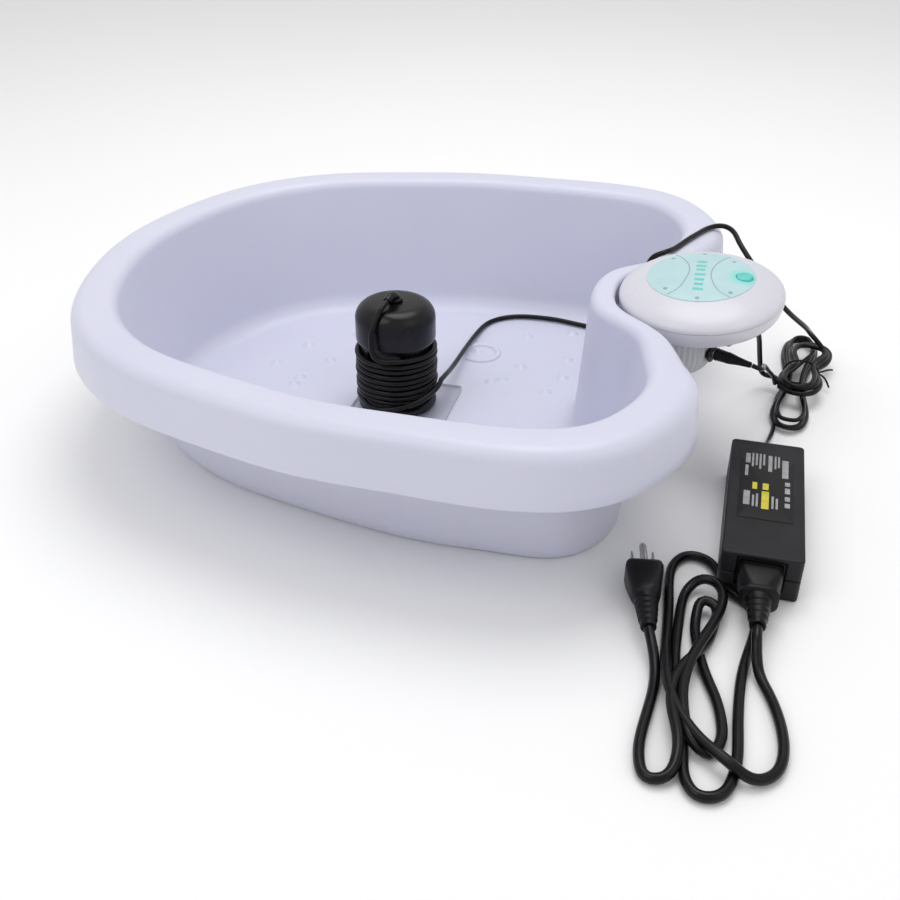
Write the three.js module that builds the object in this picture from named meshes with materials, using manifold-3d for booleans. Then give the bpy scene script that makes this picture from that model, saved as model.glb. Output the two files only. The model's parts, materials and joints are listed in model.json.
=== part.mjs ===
// Foot spa basin: a kidney-shaped tub with a round control unit in its notch, a water electrode
// unit ("array") standing in it, a power adapter and the cords that join them.
// Millimetres, +Z up. The origin is on the floor under the middle of the tub and control unit.
// +X points to the control unit, +Y is one long side of the tub, and the tub is symmetric about Y = 0.
import * as THREE from 'three';
import { mergeVertices } from 'three/addons/utils/BufferGeometryUtils.js';
import Module from 'manifold-3d';

const wasm = await Module();
wasm.setup();

// ---- driving dimensions -------------------------------------------------------------------
const GAP = 0.3;                    // air left between two touching pieces

const RIM_HEIGHT = 114;             // floor to the top of the lip
const SKIRT_HEIGHT = 36;            // lip turned down on the outside
const WALL = 3.2;                   // moulded wall of the tub
const FLOOR_THICKNESS = 4;
const FLOOR_RADIUS = 14;            // wall to floor, inside
const LIP_OUTER_RADIUS = 11;
const LIP_INNER_RADIUS = 7;
const SKIRT_FLARE = 2.5;            // the skirt is this much wider at its lower edge
const STATIONS_PER_POINT = 2;       // sections between two outline points

const CONTROL_X = 197.4;            // axis of the control unit and of the notch around it
const CONTROL_RADIUS = 56.5;
const HEAD_PLACE = [-1, 1];         // middle of the head, from the control unit's axis
const HEAD_RISE = [0.065, 0.101];   // the head's plane rises this much per mm towards +X and +Y
const DOME_HEIGHT = 14;
const DOME_RADIUS = 56.1;
const BAND_HEIGHT = 13;
const SHELL = 2.2;
const DRUM_X = -19.4;               // drum axis, from the control unit's axis
const DRUM_RADIUS = 33;
const DRUM_BOTTOM = -54;            // below the rim plane
const BUTTON_X = 28;                // button axis, from the middle of the head
const BUTTON_Y = 2;
const BUTTON_RADIUS = 5.6;
const BUTTON_TRAVEL = 1;

const ARRAY_X = -21.4;
const ARRAY_Y = -14.4;
const ARRAY_HEIGHT = 87;
const CAP_RADIUS = 30;
const CAGE_RADIUS = 26.5;
const WINDING_RADIUS = 31;
const ARRAY_CORD = 4;

const ADAPTER_X = 255.3;
const ADAPTER_Y = -108;
const ADAPTER_WIDTH = 48;
const ADAPTER_LENGTH = 132;
const ADAPTER_HEIGHT = 30;
const ADAPTER_SPLIT = 15;           // height of the seam between its two shells
const OUTPUT_CORD = 3.2;
const MAINS_CORD = 6;

// ---- materials ----------------------------------------------------------------------------
function plastic(color, roughness) {
  return new THREE.MeshStandardMaterial({ color, roughness, metalness: 0 });
}

function metal(color, roughness) {
  return new THREE.MeshStandardMaterial({ color, roughness, metalness: 1 });
}

const tubWhite = plastic(0xdcdcee, 0.35);
const controlWhite = plastic(0xe6e6f0, 0.3);
const labelFilm = plastic(0xbfe8e6, 0.4);
const teal = plastic(0x1f9a92, 0.35);
const black = plastic(0x0b0b0d, 0.4);
const charcoal = plastic(0x2a2a30, 0.55);
const cordBlack = plastic(0x0c0c0e, 0.45);
const boardGreen = plastic(0x1c5a32, 0.5);
const ceramic = plastic(0xb98b4a, 0.6);
const trayClear = plastic(0xc8ccd4, 0.15);
const labelBlack = plastic(0x1a1a1d, 0.45);
const ledGlass = plastic(0xe8f2ff, 0.1);
const nickel = metal(0xc9c9c4, 0.25);
const steel = metal(0xa9abae, 0.3);
const brass = metal(0xc8a24a, 0.3);

// ---- solids -------------------------------------------------------------------------------
// Merged vertices, no empty triangles, faces pointing out.
function closed(geometry) {
  const bare = geometry.clone();
  for (const name of Object.keys(bare.attributes)) {
    if (name !== 'position') bare.deleteAttribute(name);
  }
  const merged = mergeVertices(bare, 1e-4);
  const index = merged.index.array;
  const position = merged.attributes.position;
  const a = new THREE.Vector3();
  const b = new THREE.Vector3();
  const c = new THREE.Vector3();
  const kept = [];
  let volume = 0;
  for (let i = 0; i < index.length; i += 3) {
    const [p, q, r] = [index[i], index[i + 1], index[i + 2]];
    if (p === q || q === r || r === p) continue;
    kept.push(p, q, r);
    a.fromBufferAttribute(position, p);
    b.fromBufferAttribute(position, q);
    c.fromBufferAttribute(position, r);
    volume += a.dot(b.cross(c));
  }
  if (volume < 0) kept.reverse();
  merged.setIndex(kept);
  return merged;
}

function solid(geometry) {
  const merged = closed(geometry);
  return new wasm.Manifold(new wasm.Mesh({
    numProp: 3,
    vertProperties: new Float32Array(merged.attributes.position.array),
    triVerts: new Uint32Array(merged.index.array),
  }));
}

function cut(body, ...tools) {
  return tools.reduce((rest, tool) => rest.subtract(solid(tool)), body);
}

function join(body, ...others) {
  return others.reduce((sum, other) => sum.add(solid(other)), body);
}

function fromManifold(body) {
  const result = body.getMesh();
  const geometry = new THREE.BufferGeometry();
  geometry.setAttribute('position', new THREE.BufferAttribute(result.vertProperties, 3));
  geometry.setIndex(new THREE.BufferAttribute(result.triVerts, 1));
  return geometry;
}

function piece(name, shape, material) {
  const geometry = shape.isBufferGeometry ? closed(shape) : fromManifold(shape);
  const mesh = new THREE.Mesh(geometry, material);
  mesh.name = name;
  return mesh;
}

function box(low, high) {
  const size = high.map((value, axis) => value - low[axis]);
  const middle = high.map((value, axis) => (value + low[axis]) / 2);
  return new THREE.BoxGeometry(...size).translate(...middle);
}

// A turned solid about Z from [radius, height] points.
function turned(points, segments = 32) {
  const profile = points.map(([radius, height]) => new THREE.Vector2(radius, height));
  return new THREE.LatheGeometry(profile, segments).rotateX(Math.PI / 2);
}

function disc(radius, low, high, segments = 32) {
  return turned([[0, low], [radius, low], [radius, high], [0, high]], segments);
}

function prism(shape, low, high, curveSegments = 8) {
  const options = { depth: high - low, bevelEnabled: false, curveSegments };
  return new THREE.ExtrudeGeometry(shape, options).translate(0, 0, low);
}

function roundedRectangle(width, length, radius) {
  const x = width / 2;
  const y = length / 2;
  const shape = new THREE.Shape();
  shape.moveTo(-x + radius, -y);
  shape.absarc(x - radius, -y + radius, radius, -Math.PI / 2, 0);
  shape.absarc(x - radius, y - radius, radius, 0, Math.PI / 2);
  shape.absarc(-x + radius, y - radius, radius, Math.PI / 2, Math.PI);
  shape.absarc(-x + radius, -y + radius, radius, Math.PI, Math.PI * 1.5);
  return shape;
}

// A stack of closed outlines, each a list of [x, y] at its own height, closed at both ends.
function loft(levels) {
  const count = levels[0].outline.length;
  const vertices = [];
  const faces = [];
  for (const level of levels) {
    for (const [x, y] of level.outline) vertices.push(x, y, level.z);
  }
  for (let j = 0; j < levels.length - 1; j += 1) {
    for (let k = 0; k < count; k += 1) {
      const next = (k + 1) % count;
      const low = j * count;
      const high = low + count;
      faces.push(low + k, low + next, high + next, low + k, high + next, high + k);
    }
  }
  const last = (levels.length - 1) * count;
  const lowCentre = levels.length * count;
  vertices.push(0, 0, levels[0].z, 0, 0, levels[levels.length - 1].z);
  for (let k = 0; k < count; k += 1) {
    const next = (k + 1) % count;
    faces.push(lowCentre, next, k, lowCentre + 1, last + k, last + next);
  }
  const geometry = new THREE.BufferGeometry();
  geometry.setAttribute('position', new THREE.Float32BufferAttribute(vertices, 3));
  geometry.setIndex(faces);
  return geometry;
}

// A round cord along a smooth curve through the points.
function cordTube(points, diameter, sides = 8) {
  const route = new THREE.CatmullRomCurve3(points.map((point) => new THREE.Vector3(...point)));
  const section = new THREE.Shape();
  for (let side = 0; side < sides; side += 1) {
    const angle = (side / sides) * Math.PI * 2;
    const x = (diameter / 2) * Math.cos(angle);
    const y = (diameter / 2) * Math.sin(angle);
    if (side === 0) section.moveTo(x, y);
    else section.lineTo(x, y);
  }
  const steps = Math.ceil(route.getLength() / (diameter * 2.8));
  return new THREE.ExtrudeGeometry(section, { steps, extrudePath: route });
}

// A hank lying from one end to the other, with a round end of its own radius at each.
function hank({ from, to, fromRadius, toRadius, low, high }) {
  const turn = Math.atan2(to[1] - from[1], to[0] - from[0]);
  const shape = new THREE.Shape();
  shape.absarc(from[0], from[1], fromRadius, turn + Math.PI / 2, turn + Math.PI * 1.5);
  shape.absarc(to[0], to[1], toRadius, turn - Math.PI / 2, turn + Math.PI / 2);
  return prism(shape, low, high, 8);
}

// ---- tub ----------------------------------------------------------------------------------
// A point of the notch, on a circle about the control unit's axis, measured from -X.
function notch(radius, degrees) {
  const angle = THREE.MathUtils.degToRad(degrees);
  return [CONTROL_X - radius * Math.cos(angle), radius * Math.sin(angle)];
}

// Half outlines from the heel end, on the side where Y is positive, round the lobe, into the notch.
const RIM_HALF = [
  [-254, 0], [-244, 69], [-211, 142.5], [-150, 195], [-78, 220], [-13.5, 234], [48, 236.5],
  [107, 236.5], [161, 220], [198, 172], [207.5, 122], [190, 83],
  notch(60.5, 60), notch(60, 30), notch(59, 0),
];
const LIP_HALF = [
  [-221, 0], [-213, 57], [-185, 121], [-135, 165.5], [-70, 188], [-9, 201.5], [48, 203.5],
  [105, 202], [143, 190], [167, 157], [174, 122], [168, 92],
  notch(76, 60), notch(76, 30), notch(76, 0),
];
const FOOT_HALF = [
  [-205, 0], [-196.5, 50], [-165, 107], [-118, 142], [-58, 161], [-4, 172], [45, 178],
  [98, 177], [134, 172], [157.5, 150], [164, 122], [160, 94],
  notch(80, 57), notch(80, 30), notch(80, 0),
];

function wholeOutline(half) {
  const mirrored = half.slice(1, -1).reverse().map(([x, y]) => [x, -y]);
  const points = [...half, ...mirrored].reverse().map(([x, y]) => new THREE.Vector3(x, y, 0));
  const curve = new THREE.CatmullRomCurve3(points, true, 'catmullrom', 0.5);
  const count = points.length * STATIONS_PER_POINT;
  return Array.from({ length: count }, (_, k) => curve.getPoint(k / count).toArray().slice(0, 2));
}

// The outline moved inwards by a distance, square to its own direction.
function inset(outline, distance) {
  const count = outline.length;
  return outline.map(([x, y], k) => {
    const before = outline[(k + count - 1) % count];
    const after = outline[(k + 1) % count];
    const along = [after[0] - before[0], after[1] - before[1]];
    const length = Math.hypot(...along);
    return [x - (along[1] / length) * distance, y + (along[0] / length) * distance];
  });
}

function between(from, to, part) {
  return from.map(([x, y], k) => [x + (to[k][0] - x) * part, y + (to[k][1] - y) * part]);
}

const rim = wholeOutline(RIM_HALF);
const lip = wholeOutline(LIP_HALF);
const foot = wholeOutline(FOOT_HALF);

// Inner wall of the tub at a height: straight from the lip to the foot, a wall's thickness inside.
function innerWall(z, extra = 0) {
  const part = (RIM_HEIGHT - z) / RIM_HEIGHT;
  return inset(between(lip, inset(foot, WALL), part), extra);
}

function basin() {
  const skirtLow = RIM_HEIGHT - SKIRT_HEIGHT;
  const skirt = solid(loft([
    { z: skirtLow, outline: rim },
    { z: RIM_HEIGHT - LIP_OUTER_RADIUS, outline: inset(rim, SKIRT_FLARE) },
    { z: RIM_HEIGHT - LIP_OUTER_RADIUS * 0.3, outline: inset(rim, SKIRT_FLARE + LIP_OUTER_RADIUS * 0.3) },
    { z: RIM_HEIGHT, outline: inset(rim, SKIRT_FLARE + LIP_OUTER_RADIUS) },
  ]));
  const underLip = solid(loft([
    { z: skirtLow - 1, outline: inset(rim, WALL) },
    { z: RIM_HEIGHT - WALL - LIP_OUTER_RADIUS, outline: inset(rim, WALL + SKIRT_FLARE) },
    { z: RIM_HEIGHT - WALL, outline: inset(rim, WALL + SKIRT_FLARE + LIP_OUTER_RADIUS * 0.6) },
  ]));
  const tub = solid(loft([
    { z: 0, outline: inset(foot, 5) },
    { z: 1.5, outline: inset(foot, 2) },
    { z: 6, outline: inset(innerWall(6), -WALL) },
    { z: RIM_HEIGHT - 1, outline: inset(innerWall(RIM_HEIGHT - 1), -WALL) },
  ]));
  const hollow = solid(loft([
    { z: FLOOR_THICKNESS, outline: innerWall(FLOOR_THICKNESS, FLOOR_RADIUS) },
    { z: FLOOR_THICKNESS + FLOOR_RADIUS * 0.3, outline: innerWall(8, FLOOR_RADIUS * 0.3) },
    { z: FLOOR_THICKNESS + FLOOR_RADIUS, outline: innerWall(FLOOR_THICKNESS + FLOOR_RADIUS) },
    { z: RIM_HEIGHT - LIP_INNER_RADIUS, outline: innerWall(RIM_HEIGHT - LIP_INNER_RADIUS, 1) },
    { z: RIM_HEIGHT - LIP_INNER_RADIUS * 0.3, outline: innerWall(RIM_HEIGHT, -LIP_INNER_RADIUS * 0.3) },
    { z: RIM_HEIGHT + 0.5, outline: innerWall(RIM_HEIGHT, -LIP_INNER_RADIUS) },
  ]));
  const whole = skirt.subtract(underLip).add(tub).add(solid(hangerRail())).subtract(hollow);
  return piece('basin', whole, tubWhite);
}

// The rail moulded on the notch wall, wider at its face, that the control unit hangs on.
const RAIL_LOW = -35;               // below the rim plane
const RAIL_HIGH = -17;
const RAIL_ROOT = 9;                // half width at the wall and at the face
const RAIL_FACE = 13;
const RAIL_START = -61;             // from the control unit's axis
const RAIL_END = -52.9;

function hangerRail() {
  const shape = new THREE.Shape();
  shape.moveTo(RAIL_START, -RAIL_ROOT);
  shape.lineTo(RAIL_END, -RAIL_FACE);
  shape.lineTo(RAIL_END, RAIL_FACE);
  shape.lineTo(RAIL_START, RAIL_ROOT);
  return prism(shape, RIM_HEIGHT + RAIL_LOW, RIM_HEIGHT + RAIL_HIGH).translate(CONTROL_X, 0, 0);
}

// ---- control unit ---------------------------------------------------------------------------
// The head leans: its pieces are made about its own middle and axis, heights from the rim plane.
// The drum under it is upright, about the control unit's axis.
const SEAM = 1.7;                   // height of the seam between the two shells
const LABEL_THICKNESS = 0.5;
const LABEL_RADIUS = 36.5;
const LABEL_PLACE = [-1, 4];

// The dome is half an ellipsoid standing on the seam.
function domeHeight(radius, offset = 0) {
  return SEAM + GAP + offset + DOME_HEIGHT * Math.sqrt(Math.max(0, 1 - (radius / DOME_RADIUS) ** 2));
}

// [radius, height] points along the dome from the axis out to a radius, moved off it by an offset.
function domeProfile(outerRadius, offset, steps = 6) {
  const outerAngle = Math.asin(outerRadius / DOME_RADIUS);
  return Array.from({ length: steps + 1 }, (_, k) => {
    const radius = DOME_RADIUS * Math.sin((outerAngle * k) / steps);
    return [radius, domeHeight(radius, offset)];
  });
}

// From the head's own directions to the upright ones.
function headLean() {
  const axis = new THREE.Vector3(-HEAD_RISE[0], -HEAD_RISE[1], 1).normalize();
  const lean = new THREE.Quaternion().setFromUnitVectors(new THREE.Vector3(0, 0, 1), axis);
  return new THREE.Matrix4().compose(new THREE.Vector3(...HEAD_PLACE, 0), lean, new THREE.Vector3(1, 1, 1));
}

function buttonHole(extra) {
  return disc(BUTTON_RADIUS + extra, 3, DOME_HEIGHT + 6, 20).translate(BUTTON_X, BUTTON_Y, 0);
}

function topShell() {
  const outside = domeProfile(DOME_RADIUS, 0).reverse();
  const inside = domeProfile(DOME_RADIUS - SHELL, -SHELL);
  inside[inside.length - 1][1] = SEAM + GAP;
  const shell = solid(turned([...inside, ...outside], 36));
  return piece('controller_top_shell', cut(shell, buttonHole(0.35)), controlWhite);
}

function labelOverlay() {
  const reach = LABEL_RADIUS + Math.hypot(...LABEL_PLACE) + 1;
  const low = domeProfile(reach, GAP);
  const high = domeProfile(reach, GAP + LABEL_THICKNESS).reverse();
  const film = solid(turned([...low, ...high], 36));
  const outline = disc(LABEL_RADIUS, 0, 30).translate(...LABEL_PLACE, 0);
  return piece('label_overlay', cut(film.intersect(solid(outline)), buttonHole(0.35)), labelFilm);
}

// Leaning bowl, upright drum and hanger pocket moulded in one.
function lowerShell() {
  const bowl = solid(turned([
    [0, -BAND_HEIGHT], [CONTROL_RADIUS - 12, -BAND_HEIGHT], [CONTROL_RADIUS - 5, -BAND_HEIGHT + 4],
    [CONTROL_RADIUS - 1.5, -3], [CONTROL_RADIUS - 0.4, SEAM], [0, SEAM],
  ], 36).applyMatrix4(headLean()));
  const drum = turned([
    [0, DRUM_BOTTOM], [DRUM_RADIUS - 14, DRUM_BOTTOM], [DRUM_RADIUS - 4, DRUM_BOTTOM + 6],
    [DRUM_RADIUS, DRUM_BOTTOM + 16], [DRUM_RADIUS, -6], [0, -6],
  ], 32).translate(DRUM_X, 0, 0);
  const hanger = box([-55.3, -18, RAIL_LOW - 1], [-40, 18, -BAND_HEIGHT + 1]);
  const bowlSpace = turned([
    [0, -BAND_HEIGHT + SHELL], [CONTROL_RADIUS - 12, -BAND_HEIGHT + SHELL],
    [CONTROL_RADIUS - 2.4 - SHELL, -2], [CONTROL_RADIUS - 0.4 - SHELL, SEAM], [0, SEAM + 12],
  ], 36).applyMatrix4(headLean());
  const drumSpace = turned([
    [0, DRUM_BOTTOM + SHELL], [DRUM_RADIUS - 15, DRUM_BOTTOM + SHELL],
    [DRUM_RADIUS - SHELL, DRUM_BOTTOM + 17], [DRUM_RADIUS - SHELL, -8], [0, -8],
  ], 32).translate(DRUM_X, 0, 0);
  const shape = new THREE.Shape();
  shape.moveTo(-57, -RAIL_ROOT - 2.4);
  shape.lineTo(RAIL_END + 0.4, -RAIL_FACE - 0.5);
  shape.lineTo(RAIL_END + 0.4, RAIL_FACE + 0.5);
  shape.lineTo(-57, RAIL_ROOT + 2.4);
  const pocket = prism(shape, RAIL_LOW - 3, RAIL_HIGH + GAP);
  const shell = cut(join(bowl, drum, hanger), bowlSpace, drumSpace, pocket,
    socketHole(POWER_SOCKET), socketHole(ARRAY_SOCKET));
  return piece('controller_lower_shell', shell, controlWhite);
}

// Sockets in the drum's wall: the direction they face, in degrees from +X, and their height.
const POWER_SOCKET = { degrees: -24, height: -35, radius: 5.5 };
const ARRAY_SOCKET = { degrees: 40, height: -33, radius: 6.5 };

function atSocket(geometry, socket, away) {
  const angle = THREE.MathUtils.degToRad(socket.degrees);
  return geometry.rotateY(Math.PI / 2).translate(away, 0, 0).rotateZ(angle)
    .translate(DRUM_X, 0, socket.height);
}

function socketHole(socket) {
  return atSocket(disc(socket.radius + GAP, -6, 6, 20), socket, DRUM_RADIUS - 1);
}

function socketBody(name, socket, bore) {
  const r = socket.radius;
  const profile = [
    [0, -13], [r, -13], [r, 0], [r + 1.2, 0], [r + 1.2, 1.2], [bore, 1.2], [bore, -9], [0, -9],
  ];
  return piece(name, atSocket(turned(profile, 20), socket, DRUM_RADIUS + 0.6), black);
}

function powerPlug() {
  const profile = [[0, 3.4], [4.4, 3.4], [4.6, 12], [4, 16], [2.6, 22], [2.1, 30], [0, 30]];
  return piece('power_plug', atSocket(turned(profile, 16), POWER_SOCKET, DRUM_RADIUS + 0.6), black);
}

function powerPlugBarrel() {
  const profile = [[0, -6], [2.75, -6], [2.75, 3.1], [0, 3.1]];
  return piece('power_plug_barrel', atSocket(turned(profile, 16), POWER_SOCKET, DRUM_RADIUS + 0.6), nickel);
}

function arrayPlug() {
  const profile = [[0, -6], [3.6, -6], [3.6, 1.6], [5.6, 1.6], [5.6, 14], [3.4, 18], [2.4, 26], [0, 26]];
  return piece('array_plug', atSocket(turned(profile, 16), ARRAY_SOCKET, DRUM_RADIUS + 0.6), black);
}

function controlBoard() {
  return piece('control_board', disc(42, -6, -4.4, 32), boardGreen);
}

function boardTransformer() {
  return piece('board_transformer', box([-26, -11, -3.9], [-4, 11, 8]), ceramic);
}

function heatSink() {
  const fins = [0, 1, 2].map((k) => box([-17 + k * 5, 16, -4.1], [-15 + k * 5, 28, 5]));
  return piece('heat_sink', join(solid(box([-17, 14, -4.1], [-5, 17, 5])), ...fins), steel);
}

function buttonSwitch() {
  const x = BUTTON_X - 2;
  const body = solid(box([x - 4, BUTTON_Y - 4, -4.1], [x + 4, BUTTON_Y + 4, 1.2]));
  return piece('button_switch', join(body, disc(1.8, 0, 1.9, 12).translate(BUTTON_X, BUTTON_Y, 0)), black);
}

function powerButton() {
  const top = domeHeight(BUTTON_X, GAP + LABEL_THICKNESS) + 0.9;
  const profile = [
    [0, 1.9 + BUTTON_TRAVEL + 0.2], [BUTTON_RADIUS, 1.9 + BUTTON_TRAVEL + 0.2],
    [BUTTON_RADIUS, top - 0.6], [BUTTON_RADIUS - 0.8, top], [0, top],
  ];
  return piece('power_button', turned(profile, 24).translate(BUTTON_X, BUTTON_Y, 0), teal);
}

const LED_PLACES = [[-22, 28], [-23, -18], [-1, 37], [-1, -29], [20, 25], [20, -20]];

function indicatorLed(place, index) {
  const [x, y] = place;
  const top = domeHeight(Math.hypot(x, y), -SHELL) - 0.8;
  const profile = [[0, -4.1], [1.9, -4.1], [1.9, -3], [1.4, -3], [1.4, top - 1], [0.8, top], [0, top]];
  return piece(`indicator_led_${index + 1}`, turned(profile, 12).translate(x, y, 0), ledGlass);
}

function housingScrew(index) {
  const angle = THREE.MathUtils.degToRad(-60 + index * 60);
  const profile = [
    [0, -BAND_HEIGHT - 2.2], [2.6, -BAND_HEIGHT - 2.2], [3, -BAND_HEIGHT - GAP], [0, -BAND_HEIGHT - GAP],
  ];
  const place = [43 * Math.cos(angle), 43 * Math.sin(angle), 0];
  return piece(`housing_screw_${index + 1}`, turned(profile, 12).translate(...place), steel);
}

function controlHead() {
  const head = new THREE.Group();
  head.add(topShell(), labelOverlay(), controlBoard(), boardTransformer(), heatSink());
  head.add(buttonSwitch(), powerButton());
  LED_PLACES.forEach((place, index) => head.add(indicatorLed(place, index)));
  for (let index = 0; index < 3; index += 1) head.add(housingScrew(index));
  head.applyMatrix4(headLean());
  return head;
}

function controlUnit() {
  const group = new THREE.Group();
  group.add(lowerShell(), controlHead());
  group.add(socketBody('power_socket', POWER_SOCKET, 3.2), socketBody('array_socket', ARRAY_SOCKET, 4));
  group.add(powerPlugBarrel(), powerPlug(), arrayPlug());
  group.position.set(CONTROL_X, 0, RIM_HEIGHT);
  return group;
}

// ---- array, about its own axis, heights from the tub's floor --------------------------------
const TRAY_THICKNESS = 2.4;
const WINDING_LOW = 11;
const WINDING_HIGH = 51;
const CAP_LOW = 57;

// The loose square tray that the array stands on; it stays in the tub when the array is lifted.
function arrayTray() {
  const plate = prism(roundedRectangle(76, 76, 4), GAP, TRAY_THICKNESS, 4);
  const mesh = piece('array_tray', plate, trayClear);
  mesh.position.set(ARRAY_X + 5, ARRAY_Y - 1.4, FLOOR_THICKNESS);
  return mesh;
}

function arrayBase() {
  const low = TRAY_THICKNESS + GAP;
  const profile = [
    [0, low], [CAP_RADIUS - 1, low], [CAP_RADIUS, low + 2], [CAP_RADIUS, 8], [CAGE_RADIUS, 9], [0, 9],
  ];
  return piece('array_base', turned(profile), black);
}

function arrayCage() {
  const low = 9 + GAP;
  const cage = solid(turned([
    [20, low], [CAGE_RADIUS, low], [CAGE_RADIUS, CAP_LOW - GAP], [20, CAP_LOW - GAP], [20, low],
  ]));
  const slots = [0, 1, 2, 3, 4, 5].map((k) => (
    box([14, -2.5, 30], [30, 2.5, CAP_LOW - 3]).rotateZ((k * Math.PI) / 3)
  ));
  return piece('array_cage', cut(cage, ...slots), black);
}

function arrayCap() {
  const profile = [
    [0, CAP_LOW], [CAP_RADIUS - 1, CAP_LOW], [CAP_RADIUS, CAP_LOW + 2], [CAP_RADIUS, ARRAY_HEIGHT - 12],
    [CAP_RADIUS - 2.5, ARRAY_HEIGHT - 6], [CAP_RADIUS - 7, ARRAY_HEIGHT - 2], [CAP_RADIUS - 13, ARRAY_HEIGHT],
    [0, ARRAY_HEIGHT],
  ];
  return piece('array_cap', turned(profile), black);
}

// A collar with a thick boot that bends over and lies along the top of the cap.
const GLAND_BOOT = [[0, 0, 89.3], [0, -1.8, 91.4], [-0.6, -6, 93], [-1.8, -13, 91.9]];
const BOOT_WIDTH = 7;

function arrayGland() {
  const low = ARRAY_HEIGHT + GAP;
  const collar = solid(disc(6, low, low + 2.4, 20));
  return piece('array_cord_gland', join(collar, cordTube(GLAND_BOOT, BOOT_WIDTH)), black);
}

function centreElectrode() {
  return piece('centre_electrode', disc(3, 9 + GAP, CAP_LOW - GAP, 16), steel);
}

function ringElectrode() {
  const profile = [[14, 12], [16, 12], [16, CAP_LOW - 4], [14, CAP_LOW - 4], [14, 12]];
  return piece('ring_electrode', turned(profile, 24), nickel);
}

function electrodeSpacer() {
  const profile = [[3 + GAP, 20], [14 - GAP, 20], [14 - GAP, 23], [3 + GAP, 23], [3 + GAP, 20]];
  return piece('electrode_spacer', turned(profile, 24), ceramic);
}

function cordWinding() {
  const inner = CAGE_RADIUS + GAP;
  const profile = [
    [inner, WINDING_LOW], [WINDING_RADIUS, WINDING_LOW], [WINDING_RADIUS, WINDING_HIGH],
    [inner, WINDING_HIGH], [inner, WINDING_LOW],
  ];
  return piece('array_cord_winding', turned(profile), cordBlack);
}

// The cord's first stretch: out of the boot, over the edge of the cap and down its side.
const CORD_OVER_CAP = [
  [-1.87, -13.4, 91.8], [-2.6, -17, 90.8], [-4, -23, 88.2], [-5.8, -29.2, 82.3], [-7, -33.4, 75],
  [-7.3, -34.5, 67], [-6, -34.6, 58], [-4, -34.6, 51],
];

function arrayUnit() {
  const group = new THREE.Group();
  group.add(arrayBase(), arrayCage(), arrayCap(), arrayGland());
  group.add(centreElectrode(), ringElectrode(), electrodeSpacer(), cordWinding());
  group.add(piece('array_cord_over_cap', cordTube(CORD_OVER_CAP, ARRAY_CORD), cordBlack));
  group.position.set(ARRAY_X, ARRAY_Y, FLOOR_THICKNESS);
  return group;
}

// ---- power adapter, about the middle of its underside -----------------------------------------
const ADAPTER_SHELL = 2;
const INLET_WIDTH = 27.4;
const INLET_HEIGHT = 20;
const INLET_Z = 16.7;

function adapterHalf(name, low, high, openLow) {
  const block = solid(prism(roundedRectangle(ADAPTER_WIDTH, ADAPTER_LENGTH, 3), low, high, 3));
  const inside = roundedRectangle(ADAPTER_WIDTH - 2 * ADAPTER_SHELL, ADAPTER_LENGTH - 2 * ADAPTER_SHELL, 2);
  const space = openLow
    ? prism(inside, low - 1, high - ADAPTER_SHELL, 3)
    : prism(inside, low + ADAPTER_SHELL, high + 1, 3);
  const half = ADAPTER_LENGTH / 2;
  const inlet = box([-INLET_WIDTH / 2 - GAP, -half - 1, INLET_Z - INLET_HEIGHT / 2 - GAP],
    [INLET_WIDTH / 2 + GAP, -half + ADAPTER_SHELL + 1, INLET_Z + INLET_HEIGHT / 2 + GAP]);
  const gland = disc(3.4 + GAP, -5, 5, 16).rotateX(Math.PI / 2).translate(0, half, ADAPTER_SPLIT);
  return piece(name, cut(block, space, inlet, gland), charcoal);
}

// The inlet is a cup that the mains connector goes into.
function adapterInlet() {
  const half = ADAPTER_LENGTH / 2;
  const low = INLET_Z - INLET_HEIGHT / 2;
  const high = INLET_Z + INLET_HEIGHT / 2;
  const cup = solid(box([-INLET_WIDTH / 2, -half + 0.2, low], [INLET_WIDTH / 2, -half + 19, high]));
  const wide = INLET_WIDTH / 2 - 1.6;
  const space = box([-wide, -half - 1, low + 1.6], [wide, -half + 17, high - 1.6]);
  return piece('adapter_inlet', cut(cup, space), black);
}

function inletPin(name, x, z) {
  const half = ADAPTER_LENGTH / 2;
  return piece(name, box([x - 1, -half + 3, z - 2], [x + 1, -half + 17 - GAP, z + 2]), brass);
}

function adapterLabel() {
  const film = prism(roundedRectangle(34, 72, 1.5), ADAPTER_HEIGHT + GAP, ADAPTER_HEIGHT + GAP + 0.4, 3);
  return piece('adapter_label', film.translate(0, 8, 0), labelBlack);
}

function adapterGland() {
  const half = ADAPTER_LENGTH / 2;
  const profile = [[0, -6], [4.6, -6], [4.6, -2.5], [3.4, -2.5], [3.4, 0.6], [3.2, 4], [2.2, 11], [0, 11]];
  const lying = turned(profile, 16).rotateX(-Math.PI / 2).translate(0, half, ADAPTER_SPLIT);
  return piece('adapter_cord_gland', lying, black);
}

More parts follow.
